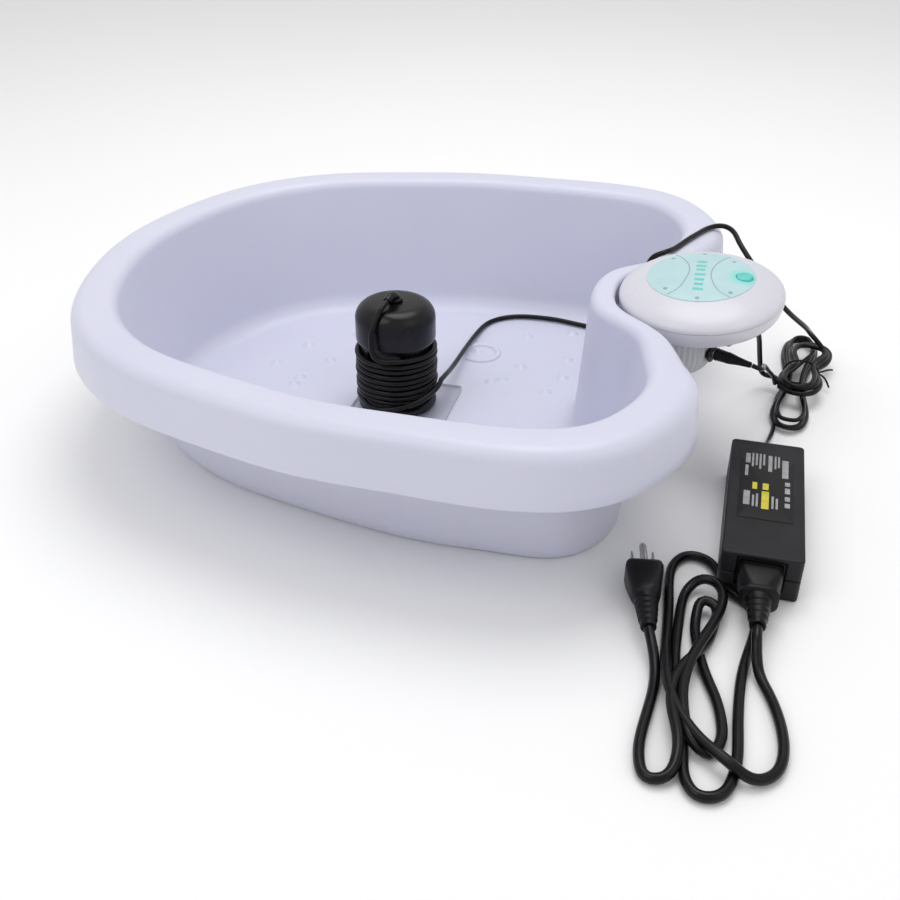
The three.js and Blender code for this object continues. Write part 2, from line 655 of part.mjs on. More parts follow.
function adapterUnit() {
  const group = new THREE.Group();
  group.add(adapterHalf('adapter_lower_shell', 0, ADAPTER_SPLIT - GAP / 2, false));
  group.add(adapterHalf('adapter_upper_shell', ADAPTER_SPLIT + GAP / 2, ADAPTER_HEIGHT, true));
  group.add(adapterInlet(), adapterLabel(), adapterGland());
  group.add(inletPin('inlet_pin_live', -7, INLET_Z - 1));
  group.add(inletPin('inlet_pin_neutral', 7, INLET_Z - 1));
  group.add(inletPin('inlet_pin_earth', 0, INLET_Z + 3));
  const half = ADAPTER_LENGTH / 2;
  group.add(piece('adapter_board', box([-20, -half + 22, 5], [20, half - 9, 6.6]), boardGreen));
  group.add(piece('adapter_transformer', box([-14, -8, 7], [14, 22, 24]), ceramic));
  const capacitor = disc(7, 7, 25, 20).translate(8, -24, 0);
  group.add(piece('adapter_capacitor', capacitor, black));
  group.add(piece('adapter_heat_sink', box([-19, -34, 7], [-16.5, 40, 24]), steel));
  group.position.set(ADAPTER_X, ADAPTER_Y, 0);
  return group;
}

// ---- mains lead -----------------------------------------------------------------------------
const CONNECTOR_X = ADAPTER_X;
const CONNECTOR_FACE = ADAPTER_Y - ADAPTER_LENGTH / 2;   // near face of the adapter

// The appliance connector: nose inside the inlet, body outside it, tapered strain relief.
function mainsConnector() {
  const nose = roundedRectangle(INLET_WIDTH - 3.8, INLET_HEIGHT - 3.8, 2);
  const grip = roundedRectangle(26.5, 19.5, 4);
  const collar = roundedRectangle(31, 20.5, 3);
  const stand = (shape, from, to) => prism(shape, from, to, 3).rotateX(Math.PI / 2);
  const body = solid(stand(grip, 0.6, 21));
  const relief = turned([[0, 23], [8.4, 23], [8, 29], [6, 36], [5, 48], [0, 48]], 16).rotateX(Math.PI / 2);
  // The nose is bored for the three inlet pins.
  const bores = [[-7, -1], [7, -1], [0, 3]].map(([x, z]) => (
    box([x - 1.4, 2, z - 2.4], [x + 1.4, 16, z + 2.4])
  ));
  const whole = join(body, stand(nose, -15, 1), stand(collar, 21 - 0.5, 24), relief);
  const shape = cut(whole, ...bores);
  const mesh = piece('mains_connector', shape, black);
  mesh.position.set(CONNECTOR_X, CONNECTOR_FACE, INLET_Z);
  return mesh;
}

const PLUG_TURN = THREE.MathUtils.degToRad(9.7);
const PLUG_PLACE = [187.8, -181, 11];                  // middle of the face that carries the blades

function placedOnPlug(mesh) {
  mesh.position.set(...PLUG_PLACE);
  mesh.rotation.z = PLUG_TURN;
  return mesh;
}

// [distance behind the blades' face, width, height] along the plug's moulded body.
const PLUG_SECTIONS = [[0, 20, 18], [3, 23, 20], [14, 21, 19], [34, 13, 12], [52, 10, 9.6]];

function mainsPlug() {
  const levels = PLUG_SECTIONS.map(([z, width, height]) => ({
    z,
    outline: roundedRectangle(width, height, 4).getPoints(3).slice(0, -1).map((point) => [point.x, point.y]),
  }));
  return placedOnPlug(piece('mains_plug', loft(levels).rotateX(Math.PI / 2), black));
}

function plugBlade(name, x) {
  return placedOnPlug(piece(name, box([x - 0.8, GAP, -4.2], [x + 0.8, 17, 2.2]), nickel));
}

function groundPin() {
  const pin = turned([[0, GAP], [2.4, GAP], [2.4, 17], [1.4, 19.5], [0, 19.5]], 12).rotateX(-Math.PI / 2);
  return placedOnPlug(piece('plug_ground_pin', pin.translate(0, 0, 5.5), nickel));
}

// From the connector, round a free loop on the floor, to the hank.
const MAINS_FREE_LOOP = [
  [255.3, -222.8, 16.7], [255.3, -229, 15.8], [256.5, -238, 9.5], [259, -247, 4.6], [263, -256, 3.3],
  [268, -270, 3.3], [271.5, -286, 3.3], [272, -302, 3.3], [267, -316, 3.3], [257, -323, 3.3],
  [247.8, -322, 3.3],
];
// From the top of the hank, under the connector, to the foot of the hank.
const MAINS_UNDER_RUN = [
  [236, -178, 3.1], [243, -179, 3.1], [250, -184, 3.1], [254.5, -194, 3.1], [255.5, -208, 3.1],
  [252, -226, 3.1], [247.5, -246, 3.1], [246.5, -268, 3.1], [247.5, -290, 3.1], [247.6, -306, 3.1],
];
const MAINS_TO_PLUG = [
  [196.65, -232.9, 11], [197.6, -239, 10], [199.4, -248, 6.4], [201.2, -258, 4], [202.4, -272, 3.3],
];
const MAINS_HANK = {
  from: [216.8, -164], to: [226, -322], fromRadius: 12.8, toRadius: 19, low: 0, high: 13,
};

function mainsLead() {
  const group = new THREE.Group();
  group.add(mainsConnector(), mainsPlug(), groundPin());
  group.add(plugBlade('plug_blade_live', -6.35), plugBlade('plug_blade_neutral', 6.35));
  group.add(piece('mains_cord_free_loop', cordTube(MAINS_FREE_LOOP, MAINS_CORD), cordBlack));
  group.add(piece('mains_cord_under_run', cordTube(MAINS_UNDER_RUN, MAINS_CORD), cordBlack));
  group.add(piece('mains_cord_plug_end', cordTube(MAINS_TO_PLUG, MAINS_CORD), cordBlack));
  group.add(piece('mains_cord_hank', hank(MAINS_HANK), cordBlack));
  return group;
}

// ---- output cord and array cord on the floor -----------------------------------------------------
const OUTPUT_HANK = {
  from: [272, 40], to: [282, 170], fromRadius: 13, toRadius: 15, low: 0, high: 9.5,
};
const ARRAY_HANK = {
  from: [277, 80], to: [288, 140], fromRadius: 16, toRadius: 18, low: 9.8, high: 20,
};

const OUTPUT_FROM_ADAPTER = [
  [255.3, -30.6, 15], [255.4, -24, 14.6], [256, -12, 10], [257.5, 2, 4.4], [259.5, 14, 1.8], [261, 22, 1.8],
];
const OUTPUT_TO_PLUG = [
  [236.9, -26.3, 79], [241, -27, 78], [245, -16, 73], [246, 0, 66], [247, 20, 57], [250, 38, 46],
  [254, 53, 35], [257.5, 64, 26], [259.5, 69, 19],
];
const ARRAY_ACROSS_TUB = [
  [12.2, -9, 27], [12.5, 0, 25.8], [11.6, 20, 21], [9.8, 55, 14.5], [8.8, 95, 9.2], [10, 122, 7],
  [14.5, 142, 6.4], [25, 154.5, 6.4], [38, 160.5, 6.6], [55, 162.5, 6.8], [74, 161.5, 6.8], [90, 158.5, 6.5],
  [106, 155, 6.4], [124, 148, 6.4],
  [140, 133, 6.6], [148, 116, 10], [151, 98, 24], [151.5, 84, 46], [151.5, 74, 72], [152, 69, 93],
  [153.5, 67, 106], [157.5, 65.5, 113.6], [163, 66, 116.6], [170, 76, 116.6], [178, 96, 116.6],
  [187, 117, 116.6], [195, 131, 116.6], [203, 136, 116.6], [210.5, 130, 116.2], [217, 117, 112.5],
  [227, 103, 104], [241, 93, 90], [256, 92, 74], [269, 105, 58], [280, 125, 42], [287, 140, 29],
  [290, 148, 23.4],
];
const ARRAY_TO_PLUG = [
  [223.9, 38.5, 81], [229, 43, 80], [236, 54, 73], [241, 68, 60], [244, 80, 44], [247.5, 90.5, 22],
  [252.5, 94.5, 12], [258, 93.5, 11.6],
];

function floorCords() {
  const group = new THREE.Group();
  group.add(piece('output_cord_adapter_end', cordTube(OUTPUT_FROM_ADAPTER, OUTPUT_CORD), cordBlack));
  group.add(piece('output_cord_plug_end', cordTube(OUTPUT_TO_PLUG, OUTPUT_CORD), cordBlack));
  group.add(piece('output_cord_hank', hank(OUTPUT_HANK), cordBlack));
  group.add(piece('array_cord_free_run', cordTube(ARRAY_ACROSS_TUB, ARRAY_CORD), cordBlack));
  group.add(piece('array_cord_plug_end', cordTube(ARRAY_TO_PLUG, ARRAY_CORD), cordBlack));
  group.add(piece('array_cord_hank', hank(ARRAY_HANK), cordBlack));
  return group;
}

const footSpa = new THREE.Group();
footSpa.add(basin(), controlUnit(), arrayTray(), arrayUnit(), adapterUnit(), mainsLead(), floorCords());

export default footSpa;
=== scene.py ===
"""Foot spa basin: tub, control unit in its notch, water electrode unit, power adapter and cords."""
import json
import math

import bpy
import bmesh
import numpy as np
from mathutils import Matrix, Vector


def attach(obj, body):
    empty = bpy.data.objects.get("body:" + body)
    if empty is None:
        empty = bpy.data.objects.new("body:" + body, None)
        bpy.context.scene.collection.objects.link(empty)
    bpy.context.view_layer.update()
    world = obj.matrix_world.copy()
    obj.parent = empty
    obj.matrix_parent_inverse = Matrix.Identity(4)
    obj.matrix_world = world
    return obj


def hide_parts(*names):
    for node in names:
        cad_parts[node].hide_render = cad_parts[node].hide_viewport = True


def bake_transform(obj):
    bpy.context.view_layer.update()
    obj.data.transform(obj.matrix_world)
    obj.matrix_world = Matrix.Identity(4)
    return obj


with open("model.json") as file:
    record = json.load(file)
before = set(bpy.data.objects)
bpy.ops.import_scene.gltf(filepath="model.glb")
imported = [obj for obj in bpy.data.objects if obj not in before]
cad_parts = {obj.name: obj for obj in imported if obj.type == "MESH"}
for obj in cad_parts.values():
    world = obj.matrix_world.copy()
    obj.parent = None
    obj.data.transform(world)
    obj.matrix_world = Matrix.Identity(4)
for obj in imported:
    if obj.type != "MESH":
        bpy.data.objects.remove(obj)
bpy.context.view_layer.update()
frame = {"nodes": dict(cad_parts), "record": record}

MM = 0.001
GAP = 0.3

# ---- camera and lights ------------------------------------------------------------------------
CAMERA_PLACE = (0.2093, -0.7031, 0.4183)
CAMERA_AIM = (0.0818, -0.2375, 0.1139)
CAMERA_LENS = 42.8
KEY_POWER = 5
FILL_POWER = 1.5
TOP_POWER = 11
SKY_STRENGTH = 0.64


def add_camera():
    data = bpy.data.cameras.new("camera")
    data.lens = CAMERA_LENS
    data.sensor_width = 36
    camera = bpy.data.objects.new("camera", data)
    camera.location = CAMERA_PLACE
    aim = Vector(CAMERA_AIM) - Vector(CAMERA_PLACE)
    camera.rotation_euler = aim.to_track_quat("-Z", "Y").to_euler()
    bpy.context.scene.collection.objects.link(camera)
    bpy.context.scene.camera = camera


def add_area_light(name, place, aim, width, energy):
    data = bpy.data.lights.new(name, "AREA")
    data.shape = "DISK"
    data.size = width
    data.energy = energy
    light = bpy.data.objects.new(name, data)
    light.location = place
    light.rotation_euler = (Vector(aim) - Vector(place)).to_track_quat("-Z", "Y").to_euler()
    bpy.context.scene.collection.objects.link(light)


def add_studio():
    add_area_light("key_light", (-0.7, -0.9, 1.5), (0, 0, 0), 1.1, KEY_POWER)
    add_area_light("fill_light", (1.3, -0.6, 1.1), (0.1, 0, 0), 1.0, FILL_POWER)
    add_area_light("top_light", (0.1, 0.4, 1.7), (0, 0, 0), 1.2, TOP_POWER)
    world = bpy.data.worlds.new("studio")
    bpy.context.scene.world = world
    world.use_nodes = True
    background = world.node_tree.nodes["Background"]
    background.inputs["Color"].default_value = (1, 1, 1, 1)
    background.inputs["Strength"].default_value = SKY_STRENGTH
    bpy.context.scene.view_settings.view_transform = "Standard"


# ---- numpy surfaces ---------------------------------------------------------------------------
def spline_pieces(points, closed):
    """Second derivatives of the cubic curve through the points whose slope and bend are both
    continuous; the straight distances between the points are its parameter."""
    points = np.array(points, float)
    if closed:
        points = np.vstack([points, points[:1]])
    gaps = np.linalg.norm(np.diff(points, axis=0), axis=1)
    slopes = np.diff(points, axis=0) / gaps[:, None]
    count = len(points)
    matrix = np.eye(count)
    right = np.zeros_like(points)
    inner = np.arange(1, count - 1)
    matrix[inner, inner - 1] = gaps[:-1]
    matrix[inner, inner] = 2 * (gaps[:-1] + gaps[1:])
    matrix[inner, inner + 1] = gaps[1:]
    right[inner] = 6 * (slopes[1:] - slopes[:-1])
    if closed:
        matrix[0, 0] = 2 * (gaps[-1] + gaps[0])
        matrix[0, 1] = gaps[0]
        matrix[0, count - 2] = gaps[-1]
        right[0] = 6 * (slopes[0] - slopes[-1])
        matrix[count - 1, 0] = -1
    return points, gaps, np.linalg.solve(matrix, right)


def spline_at(pieces, place):
    """Points of the curve at places counted in pieces: 2.5 is halfway along the third piece."""
    points, gaps, bends = pieces
    index = np.minimum(place.astype(int), len(gaps) - 1)
    b = (place - index)[:, None]
    a = 1 - b
    gap = gaps[index][:, None]
    bend = (a**3 - a) * bends[index] + (b**3 - b) * bends[index + 1]
    return a * points[index] + b * points[index + 1] + bend * gap**2 / 6


def smooth_route(points, step):
    """A smooth curve through the points, resampled at even steps along its length."""
    pieces = spline_pieces(points, closed=False)
    dense = spline_at(pieces, np.linspace(0, len(pieces[1]), len(pieces[1]) * 60))
    distance = np.concatenate([[0], np.cumsum(np.linalg.norm(np.diff(dense, axis=0), axis=1))])
    count = max(4, int(distance[-1] / step))
    even = np.linspace(0, distance[-1], count)
    return np.stack([np.interp(even, distance, dense[:, axis]) for axis in range(3)], axis=1)


def grid_faces(rows, columns, closed_rows=False):
    """Quads of a grid whose columns wrap round; its rows wrap too where closed_rows is set."""
    row_count = rows if closed_rows else rows - 1
    row, column = np.meshgrid(np.arange(row_count), np.arange(columns), indexing="ij")
    next_row = (row + 1) % rows
    next_column = (column + 1) % columns
    corners = [row * columns + column, row * columns + next_column,
               next_row * columns + next_column, next_row * columns + column]
    return np.stack(corners, axis=-1).reshape(-1, 4)


def outwards(vertices, quads, triangles):
    """Turns every face round if the closed surface encloses a negative volume."""
    halves = np.vstack([quads[:, [0, 1, 2]], quads[:, [0, 2, 3]], triangles])
    corner = vertices[halves]
    volume = np.einsum("ij,ij->i", corner[:, 0], np.cross(corner[:, 1], corner[:, 2])).sum()
    if volume < 0:
        return vertices, quads[:, ::-1], triangles[:, ::-1]
    return vertices, quads, triangles


def capped(rings):
    """A closed skin over a stack of rings, each (columns, 3), with a pole in the middle of each end."""
    rings = np.asarray(rings)
    rows, columns, _ = rings.shape
    vertices = np.vstack([rings.reshape(-1, 3), rings[0].mean(axis=0), rings[-1].mean(axis=0)])
    here = np.arange(columns)
    following = (here + 1) % columns
    low_pole = np.full(columns, rows * columns)
    last = (rows - 1) * columns
    low = np.stack([low_pole, following, here], axis=1)
    high = np.stack([low_pole + 1, last + here, last + following], axis=1)
    return outwards(vertices, grid_faces(rows, columns), np.vstack([low, high]))


def looped(rings):
    """A closed skin over rings that follow each other all the way round, like a tyre."""
    rings = np.asarray(rings)
    rows, columns, _ = rings.shape
    no_triangles = np.zeros((0, 3), int)
    return outwards(rings.reshape(-1, 3), grid_faces(rows, columns, closed_rows=True), no_triangles)


def circle(columns):
    angle = np.arange(columns) * (2 * math.pi / columns)
    return np.cos(angle), np.sin(angle)


def lathe(profile, columns=96):
    """Rings about Z: each [radius, height] of the profile turned all the way round."""
    profile = np.array(profile, float)
    x, y = circle(columns)
    rings = np.empty((len(profile), columns, 3))
    rings[:, :, 0] = profile[:, :1] * x
    rings[:, :, 1] = profile[:, :1] * y
    rings[:, :, 2] = profile[:, 1:]
    return rings


def rounded(profile, radius, steps=4):
    """The open profile with each inner corner cut back by the radius and bent round in an arc."""
    profile = np.array(profile, float)
    pieces = [profile[:1]]
    t = np.linspace(0, 1, steps + 1)[:, None]
    for before, corner, after in zip(profile[:-2], profile[1:-1], profile[2:]):
        reach = min(radius, np.linalg.norm(before - corner) / 2, np.linalg.norm(after - corner) / 2)
        start = corner + (before - corner) / np.linalg.norm(before - corner) * reach
        end = corner + (after - corner) / np.linalg.norm(after - corner) * reach
        pieces.append((1 - t) ** 2 * start + 2 * t * (1 - t) * corner + t**2 * end)
    pieces.append(profile[-1:])
    return np.vstack(pieces)


def turned(profile, radius=0.6, columns=96):
    """A turned solid from an open [radius, height] profile that starts and ends near the axis."""
    points = rounded(profile, radius)
    points[:, 0] = np.maximum(points[:, 0], 0.02)
    return lathe(points, columns)


def tube_rings(route, radius, sides=14):
    """A ring of points square to the route at each station; the ring is carried along without twist."""
    along = np.gradient(route, axis=0)
    along /= np.linalg.norm(along, axis=1)[:, None]
    side = np.empty_like(along)
    start = np.cross(along[0], (0.31, 0.17, 0.93))
    side[0] = start / np.linalg.norm(start)
    for station in range(1, len(along)):
        carried = side[station - 1] - along[station] * side[station - 1].dot(along[station])
        side[station] = carried / np.linalg.norm(carried)
    up = np.cross(along, side)
    x, y = circle(sides)
    radius = np.broadcast_to(radius, len(route))[:, None, None]
    return route[:, None] + radius * (side[:, None] * x[:, None] + up[:, None] * y[:, None])


def rounded_rectangle(width, length, radius, per_corner=6):
    """Outline of a rectangle with round corners, counter-clockwise, as x and y."""
    corner = np.arange(4).repeat(per_corner)
    angle = (corner + np.tile(np.linspace(0, 1, per_corner), 4)) * (math.pi / 2)
    sign_x = np.array([1, -1, -1, 1])[corner]
    sign_y = np.array([1, 1, -1, -1])[corner]
    x = sign_x * (width / 2 - radius) + radius * np.cos(angle)
    y = sign_y * (length / 2 - radius) + radius * np.sin(angle)
    return np.stack([x, y], axis=1)


def level(outline, z):
    """An outline of x and y as a ring at one height, or at a height for each point."""
    return np.column_stack([outline, np.broadcast_to(z, len(outline))])


def slab(width, length, low, high, corner, edge):
    """Rings of a flat block with round corners whose top and bottom edges are rounded too."""
    turn = np.linspace(0, math.pi / 2, 4)
    lower = [(edge * (1 - math.sin(a)), low + edge * (1 - math.cos(a))) for a in turn]
    upper = [(edge * (1 - math.sin(a)), high - edge * (1 - math.cos(a))) for a in turn[::-1]]
    return np.array([
        level(rounded_rectangle(width - 2 * inset, length - 2 * inset, max(corner - inset, 0.05)), z)
        for inset, z in lower + upper
    ])


def moved(rings, offset):
    return np.asarray(rings) + np.array(offset, float)


def rotated(rings, matrix):
    return np.asarray(rings) @ np.array(matrix, float).T


# ---- pieces -----------------------------------------------------------------------------------
def add_piece(name, skins, material, body, replaced=(), sharp=38):
    """One object from closed skins given in millimetres; edges sharper than the angle stay crisp."""
    vertices = []
    faces = []
    start = 0
    for points, quads, triangles in skins:
        vertices.append(points)
        faces += (quads + start).tolist() + (triangles + start).tolist()
        start += len(points)
    mesh = bpy.data.meshes.new(name)
    mesh.from_pydata((np.vstack(vertices) * MM).tolist(), [], faces)
    mesh.polygons.foreach_set("use_smooth", np.ones(len(mesh.polygons), bool))
    mesh.set_sharp_from_angle(angle=math.radians(sharp))
    mesh.materials.append(material)
    mesh.update()
    piece = bpy.data.objects.new(name, mesh)
    bpy.context.scene.collection.objects.link(piece)
    if body:
        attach(piece, body)
    if replaced:
        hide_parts(*replaced)
    return piece


def softened_copy(node, name, material, width, segments=3):
    """A merged copy of a CAD node with its edges rounded over."""
    source = frame["nodes"][node]
    mesh = source.data.copy()
    mesh.name = name
    work = bmesh.new()
    work.from_mesh(mesh)
    bmesh.ops.remove_doubles(work, verts=work.verts, dist=2e-6)
    bmesh.ops.dissolve_limit(work, angle_limit=math.radians(2), verts=work.verts, edges=work.edges)
    work.to_mesh(mesh)
    work.free()
    mesh.materials.clear()
    mesh.materials.append(material)
    mesh.polygons.foreach_set("use_smooth", np.ones(len(mesh.polygons), bool))
    mesh.set_sharp_from_angle(angle=math.radians(38))
    piece = bpy.data.objects.new(name, mesh)
    bpy.context.scene.collection.objects.link(piece)
    bevel = piece.modifiers.new("round_edges", "BEVEL")
    bevel.width = width * MM
    bevel.segments = segments
    bevel.limit_method = "ANGLE"
    bevel.angle_limit = math.radians(40)
    bevel.harden_normals = False
    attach(piece, node_body(node))
    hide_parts(node)
    return piece


def node_body(node):
    for body, members in frame["record"]["behaviour"]["bodies"].items():
        if node in members:
            return body
    return "root"


# ---- materials --------------------------------------------------------------------------------
def new_group(name, inputs, outputs):
    """An empty shader node group with named sockets; each is (name, socket type, default)."""
    group = bpy.data.node_groups.new(name, "ShaderNodeTree")
    for label, kind, default in inputs:
        socket = group.interface.new_socket(label, in_out="INPUT", socket_type=kind)
        socket.default_value = default
    for label, kind in outputs:
        group.interface.new_socket(label, in_out="OUTPUT", socket_type=kind)
    return group, group.nodes.new("NodeGroupInput"), group.nodes.new("NodeGroupOutput")


def noise_node(tree, coordinates, scale, detail=3):
    noise = tree.nodes.new("ShaderNodeTexNoise")
    noise.inputs["Detail"].default_value = detail
    tree.links.new(coordinates, noise.inputs["Vector"])
    if isinstance(scale, (int, float)):
        noise.inputs["Scale"].default_value = scale
    else:
        tree.links.new(scale, noise.inputs["Scale"])
    return noise.outputs["Fac"]


def ranged(tree, value, low, high, to_low, to_high):
    node = tree.nodes.new("ShaderNodeMapRange")
    sockets = (value, low, high, to_low, to_high)
    for name, given in zip(("Value", "From Min", "From Max", "To Min", "To Max"), sockets):
        if isinstance(given, (int, float)):
            node.inputs[name].default_value = given
        else:
            tree.links.new(given, node.inputs[name])
    return node.outputs["Result"]


def mixed(tree, factor, first, second):
    node = tree.nodes.new("ShaderNodeMix")
    node.data_type = "RGBA"
    tree.links.new(factor, node.inputs["Factor"])
    for name, given in (("A", first), ("B", second)):
        socket = [s for s in node.inputs if s.name == name and s.type == "RGBA"][0]
        if isinstance(given, tuple):
            socket.default_value = given
        else:
            tree.links.new(given, socket)
    return [s for s in node.outputs if s.type == "RGBA"][0]


def math_node(tree, operation, first, second):
    node = tree.nodes.new("ShaderNodeMath")
    node.operation = operation
    for socket, given in zip(node.inputs, (first, second)):
        if isinstance(given, (int, float)):
            socket.default_value = given
        else:
            tree.links.new(given, socket)
    return node.outputs[0]


def moulded_skin_group():
    """Moulded plastic: cloudy tone, fine spark-eroded grain, and gloss that wanders with handling."""
    group, given, result = new_group("moulded_skin", [
        ("Colour", "NodeSocketColor", (0.5, 0.5, 0.5, 1)),
        ("Worn Colour", "NodeSocketColor", (0.6, 0.6, 0.6, 1)),
        ("Cloud Scale", "NodeSocketFloat", 9.0),
        ("Grain Scale", "NodeSocketFloat", 900.0),
        ("Gloss Low", "NodeSocketFloat", 0.3),
        ("Gloss High", "NodeSocketFloat", 0.45),
    ], [("Colour", "NodeSocketColor"), ("Roughness", "NodeSocketFloat"), ("Height", "NodeSocketFloat")])
    place = group.nodes.new("ShaderNodeTexCoord").outputs["Object"]
    cloud = noise_node(group, place, given.outputs["Cloud Scale"], 4)
    grain = noise_node(group, place, given.outputs["Grain Scale"], 2)
    smear = noise_node(group, place, 42.0, 5)
    tone = ranged(group, cloud, 0.3, 0.72, 0.0, 1.0)
    colour = mixed(group, tone, given.outputs["Colour"], given.outputs["Worn Colour"])
    gloss = ranged(group, smear, 0.35, 0.7, given.outputs["Gloss Low"], given.outputs["Gloss High"])
    group.links.new(colour, result.inputs["Colour"])
    group.links.new(gloss, result.inputs["Roughness"])
    group.links.new(grain, result.inputs["Height"])
    return group


def drawn_metal_group():
    """Bright metal drawn along one axis: fine streaks in gloss and height, faint tarnish in colour."""
    group, given, result = new_group("drawn_metal", [
        ("Colour", "NodeSocketColor", (0.7, 0.7, 0.68, 1)),
        ("Tarnish", "NodeSocketColor", (0.5, 0.48, 0.44, 1)),
        ("Streak Scale", "NodeSocketFloat", 500.0),
        ("Gloss Low", "NodeSocketFloat", 0.2),
        ("Gloss High", "NodeSocketFloat", 0.4),
    ], [("Colour", "NodeSocketColor"), ("Roughness", "NodeSocketFloat"), ("Height", "NodeSocketFloat")])
    place = group.nodes.new("ShaderNodeTexCoord").outputs["Object"]
    stretch = group.nodes.new("ShaderNodeMapping")
    stretch.inputs["Scale"].default_value = (1, 0.06, 1)
    group.links.new(place, stretch.inputs["Vector"])
    streak = noise_node(group, stretch.outputs["Vector"], given.outputs["Streak Scale"], 2)
    cloud = noise_node(group, place, 60.0, 3)
    tarnish = ranged(group, cloud, 0.45, 0.75, 0.0, 1.0)
    colour = mixed(group, tarnish, given.outputs["Colour"], given.outputs["Tarnish"])
    gloss = ranged(group, streak, 0.3, 0.7, given.outputs["Gloss Low"], given.outputs["Gloss High"])
    group.links.new(colour, result.inputs["Colour"])
    group.links.new(gloss, result.inputs["Roughness"])
    group.links.new(streak, result.inputs["Height"])
    return group


def finish_material(name, group, values, bump, shader_values):
    """A Principled material fed by one group, with the group's height as a fine bump."""
    material = bpy.data.materials.new(name)
    material.use_nodes = True
    tree = material.node_tree
    shader = tree.nodes["Principled BSDF"]
    skin = tree.nodes.new("ShaderNodeGroup")
    skin.node_tree = group
    for label, value in values.items():
        skin.inputs[label].default_value = value
    tree.links.new(skin.outputs["Colour"], shader.inputs["Base Color"])
    tree.links.new(skin.outputs["Roughness"], shader.inputs["Roughness"])
    relief = tree.nodes.new("ShaderNodeBump")
    relief.inputs["Strength"].default_value = bump[0]
    relief.inputs["Distance"].default_value = bump[1] * MM
    tree.links.new(skin.outputs["Height"], relief.inputs["Height"])
    tree.links.new(relief.outputs["Normal"], shader.inputs["Normal"])
    for label, value in shader_values.items():
        shader.inputs[label].default_value = value
    return material


def rgb(red, green, blue):
    """A colour picked on a screen, 0 to 255, as linear light."""
    light = [((c / 255 + 0.055) / 1.055) ** 2.4 if c > 10 else c / 255 / 12.92 for c in (red, green, blue)]
    return (*light, 1)


MOULDED = moulded_skin_group()
DRAWN = drawn_metal_group()


def moulded(name, colour, worn, gloss, grain=900.0, cloud=9.0, bump=(0.15, 0.05), **shader_values):
    values = {"Colour": rgb(*colour), "Worn Colour": rgb(*worn), "Cloud Scale": cloud,
              "Grain Scale": grain, "Gloss Low": gloss[0], "Gloss High": gloss[1]}
    extra = {label.replace("_", " "): value for label, value in shader_values.items()}
    return finish_material(name, MOULDED, values, bump, extra)


def drawn(name, colour, tarnish, gloss):
    values = {"Colour": rgb(*colour), "Tarnish": rgb(*tarnish),
              "Gloss Low": gloss[0], "Gloss High": gloss[1]}
    return finish_material(name, DRAWN, values, (0.2, 0.03), {"Metallic": 1.0})


tub_white = moulded("tub_white", (215, 216, 233), (211, 212, 230), (0.34, 0.46), grain=700.0, cloud=5.0,
                    bump=(0.12, 0.06), Subsurface_Weight=0.12, Subsurface_Scale=0.004)
control_white = moulded("control_white", (216, 215, 224), (211, 210, 220), (0.26, 0.36), cloud=14.0,
                        bump=(0.06, 0.03))
# The drum is the same white moulding as the bowl; its greyer colour is painted shade where it stands under
# the head.
drum_white_painted_shade = moulded("drum_white_painted_shade", (196, 196, 203), (188, 188, 196), (0.35, 0.5), cloud=20.0)
teal_print = moulded("teal_print", (96, 196, 188), (112, 205, 197), (0.4, 0.5), cloud=90.0)
grey_print = moulded("grey_print", (150, 172, 176), (138, 160, 166), (0.4, 0.5), cloud=90.0)
button_teal = moulded("button_teal", (86, 190, 182), (110, 214, 206), (0.28, 0.4), cloud=160.0)
array_black = moulded("array_black", (13, 13, 15), (20, 20, 22), (0.2, 0.36), grain=500.0, cloud=30.0,
                      bump=(0.1, 0.08), Specular_IOR_Level=0.3)
black_plastic = moulded("black_plastic", (11, 11, 12), (17, 17, 19), (0.3, 0.46), grain=1100.0,
                        cloud=40.0, bump=(0.35, 0.08), Specular_IOR_Level=0.22)
cord_black = moulded("cord_black", (8, 8, 9), (14, 14, 16), (0.24, 0.38), grain=650.0, cloud=35.0,
                     bump=(0.18, 0.08), Specular_IOR_Level=0.25)
charcoal = moulded("charcoal", (26, 26, 29), (34, 34, 38), (0.4, 0.56), grain=1500.0, cloud=25.0,
                   bump=(0.5, 0.1), Specular_IOR_Level=0.25)
label_black = moulded("label_black", (13, 13, 15), (18, 18, 20), (0.34, 0.44), cloud=60.0,
                      Specular_IOR_Level=0.25)
label_grey = moulded("label_grey", (168, 168, 170), (140, 140, 143), (0.45, 0.6), cloud=220.0)
label_yellow = moulded("label_yellow", (218, 205, 62), (196, 182, 50), (0.4, 0.55), cloud=220.0)
board_green = moulded("board_green", (28, 92, 52), (22, 74, 44), (0.3, 0.5), cloud=120.0)
ceramic = moulded("ceramic", (186, 140, 76), (160, 118, 60), (0.4, 0.6), cloud=90.0)
nickel = drawn("nickel", (206, 205, 200), (168, 164, 156), (0.14, 0.3))
steel = drawn("steel", (176, 178, 181), (150, 150, 150), (0.24, 0.42))
brass = drawn("brass", (206, 168, 86), (160, 126, 62), (0.2, 0.38))


def clear_sheet(name, tint, values):
    """Clear moulded plastic: plain transmission, with faint swirls in its gloss and relief."""
    material = moulded(name, tint, tint, (0.05, 0.16), grain=300.0, cloud=30.0, bump=(0.15, 0.1))
    shader = material.node_tree.nodes["Principled BSDF"]
    for label, value in values.items():
        shader.inputs[label].default_value = value
    return material


led_clear = clear_sheet("led_clear", (235, 240, 250), {"Transmission Weight": 0.6, "IOR": 1.5})


TRAY_MIDDLE = (-0.0164, -0.0158, 0)
TRAY_WIDTH = 76.0


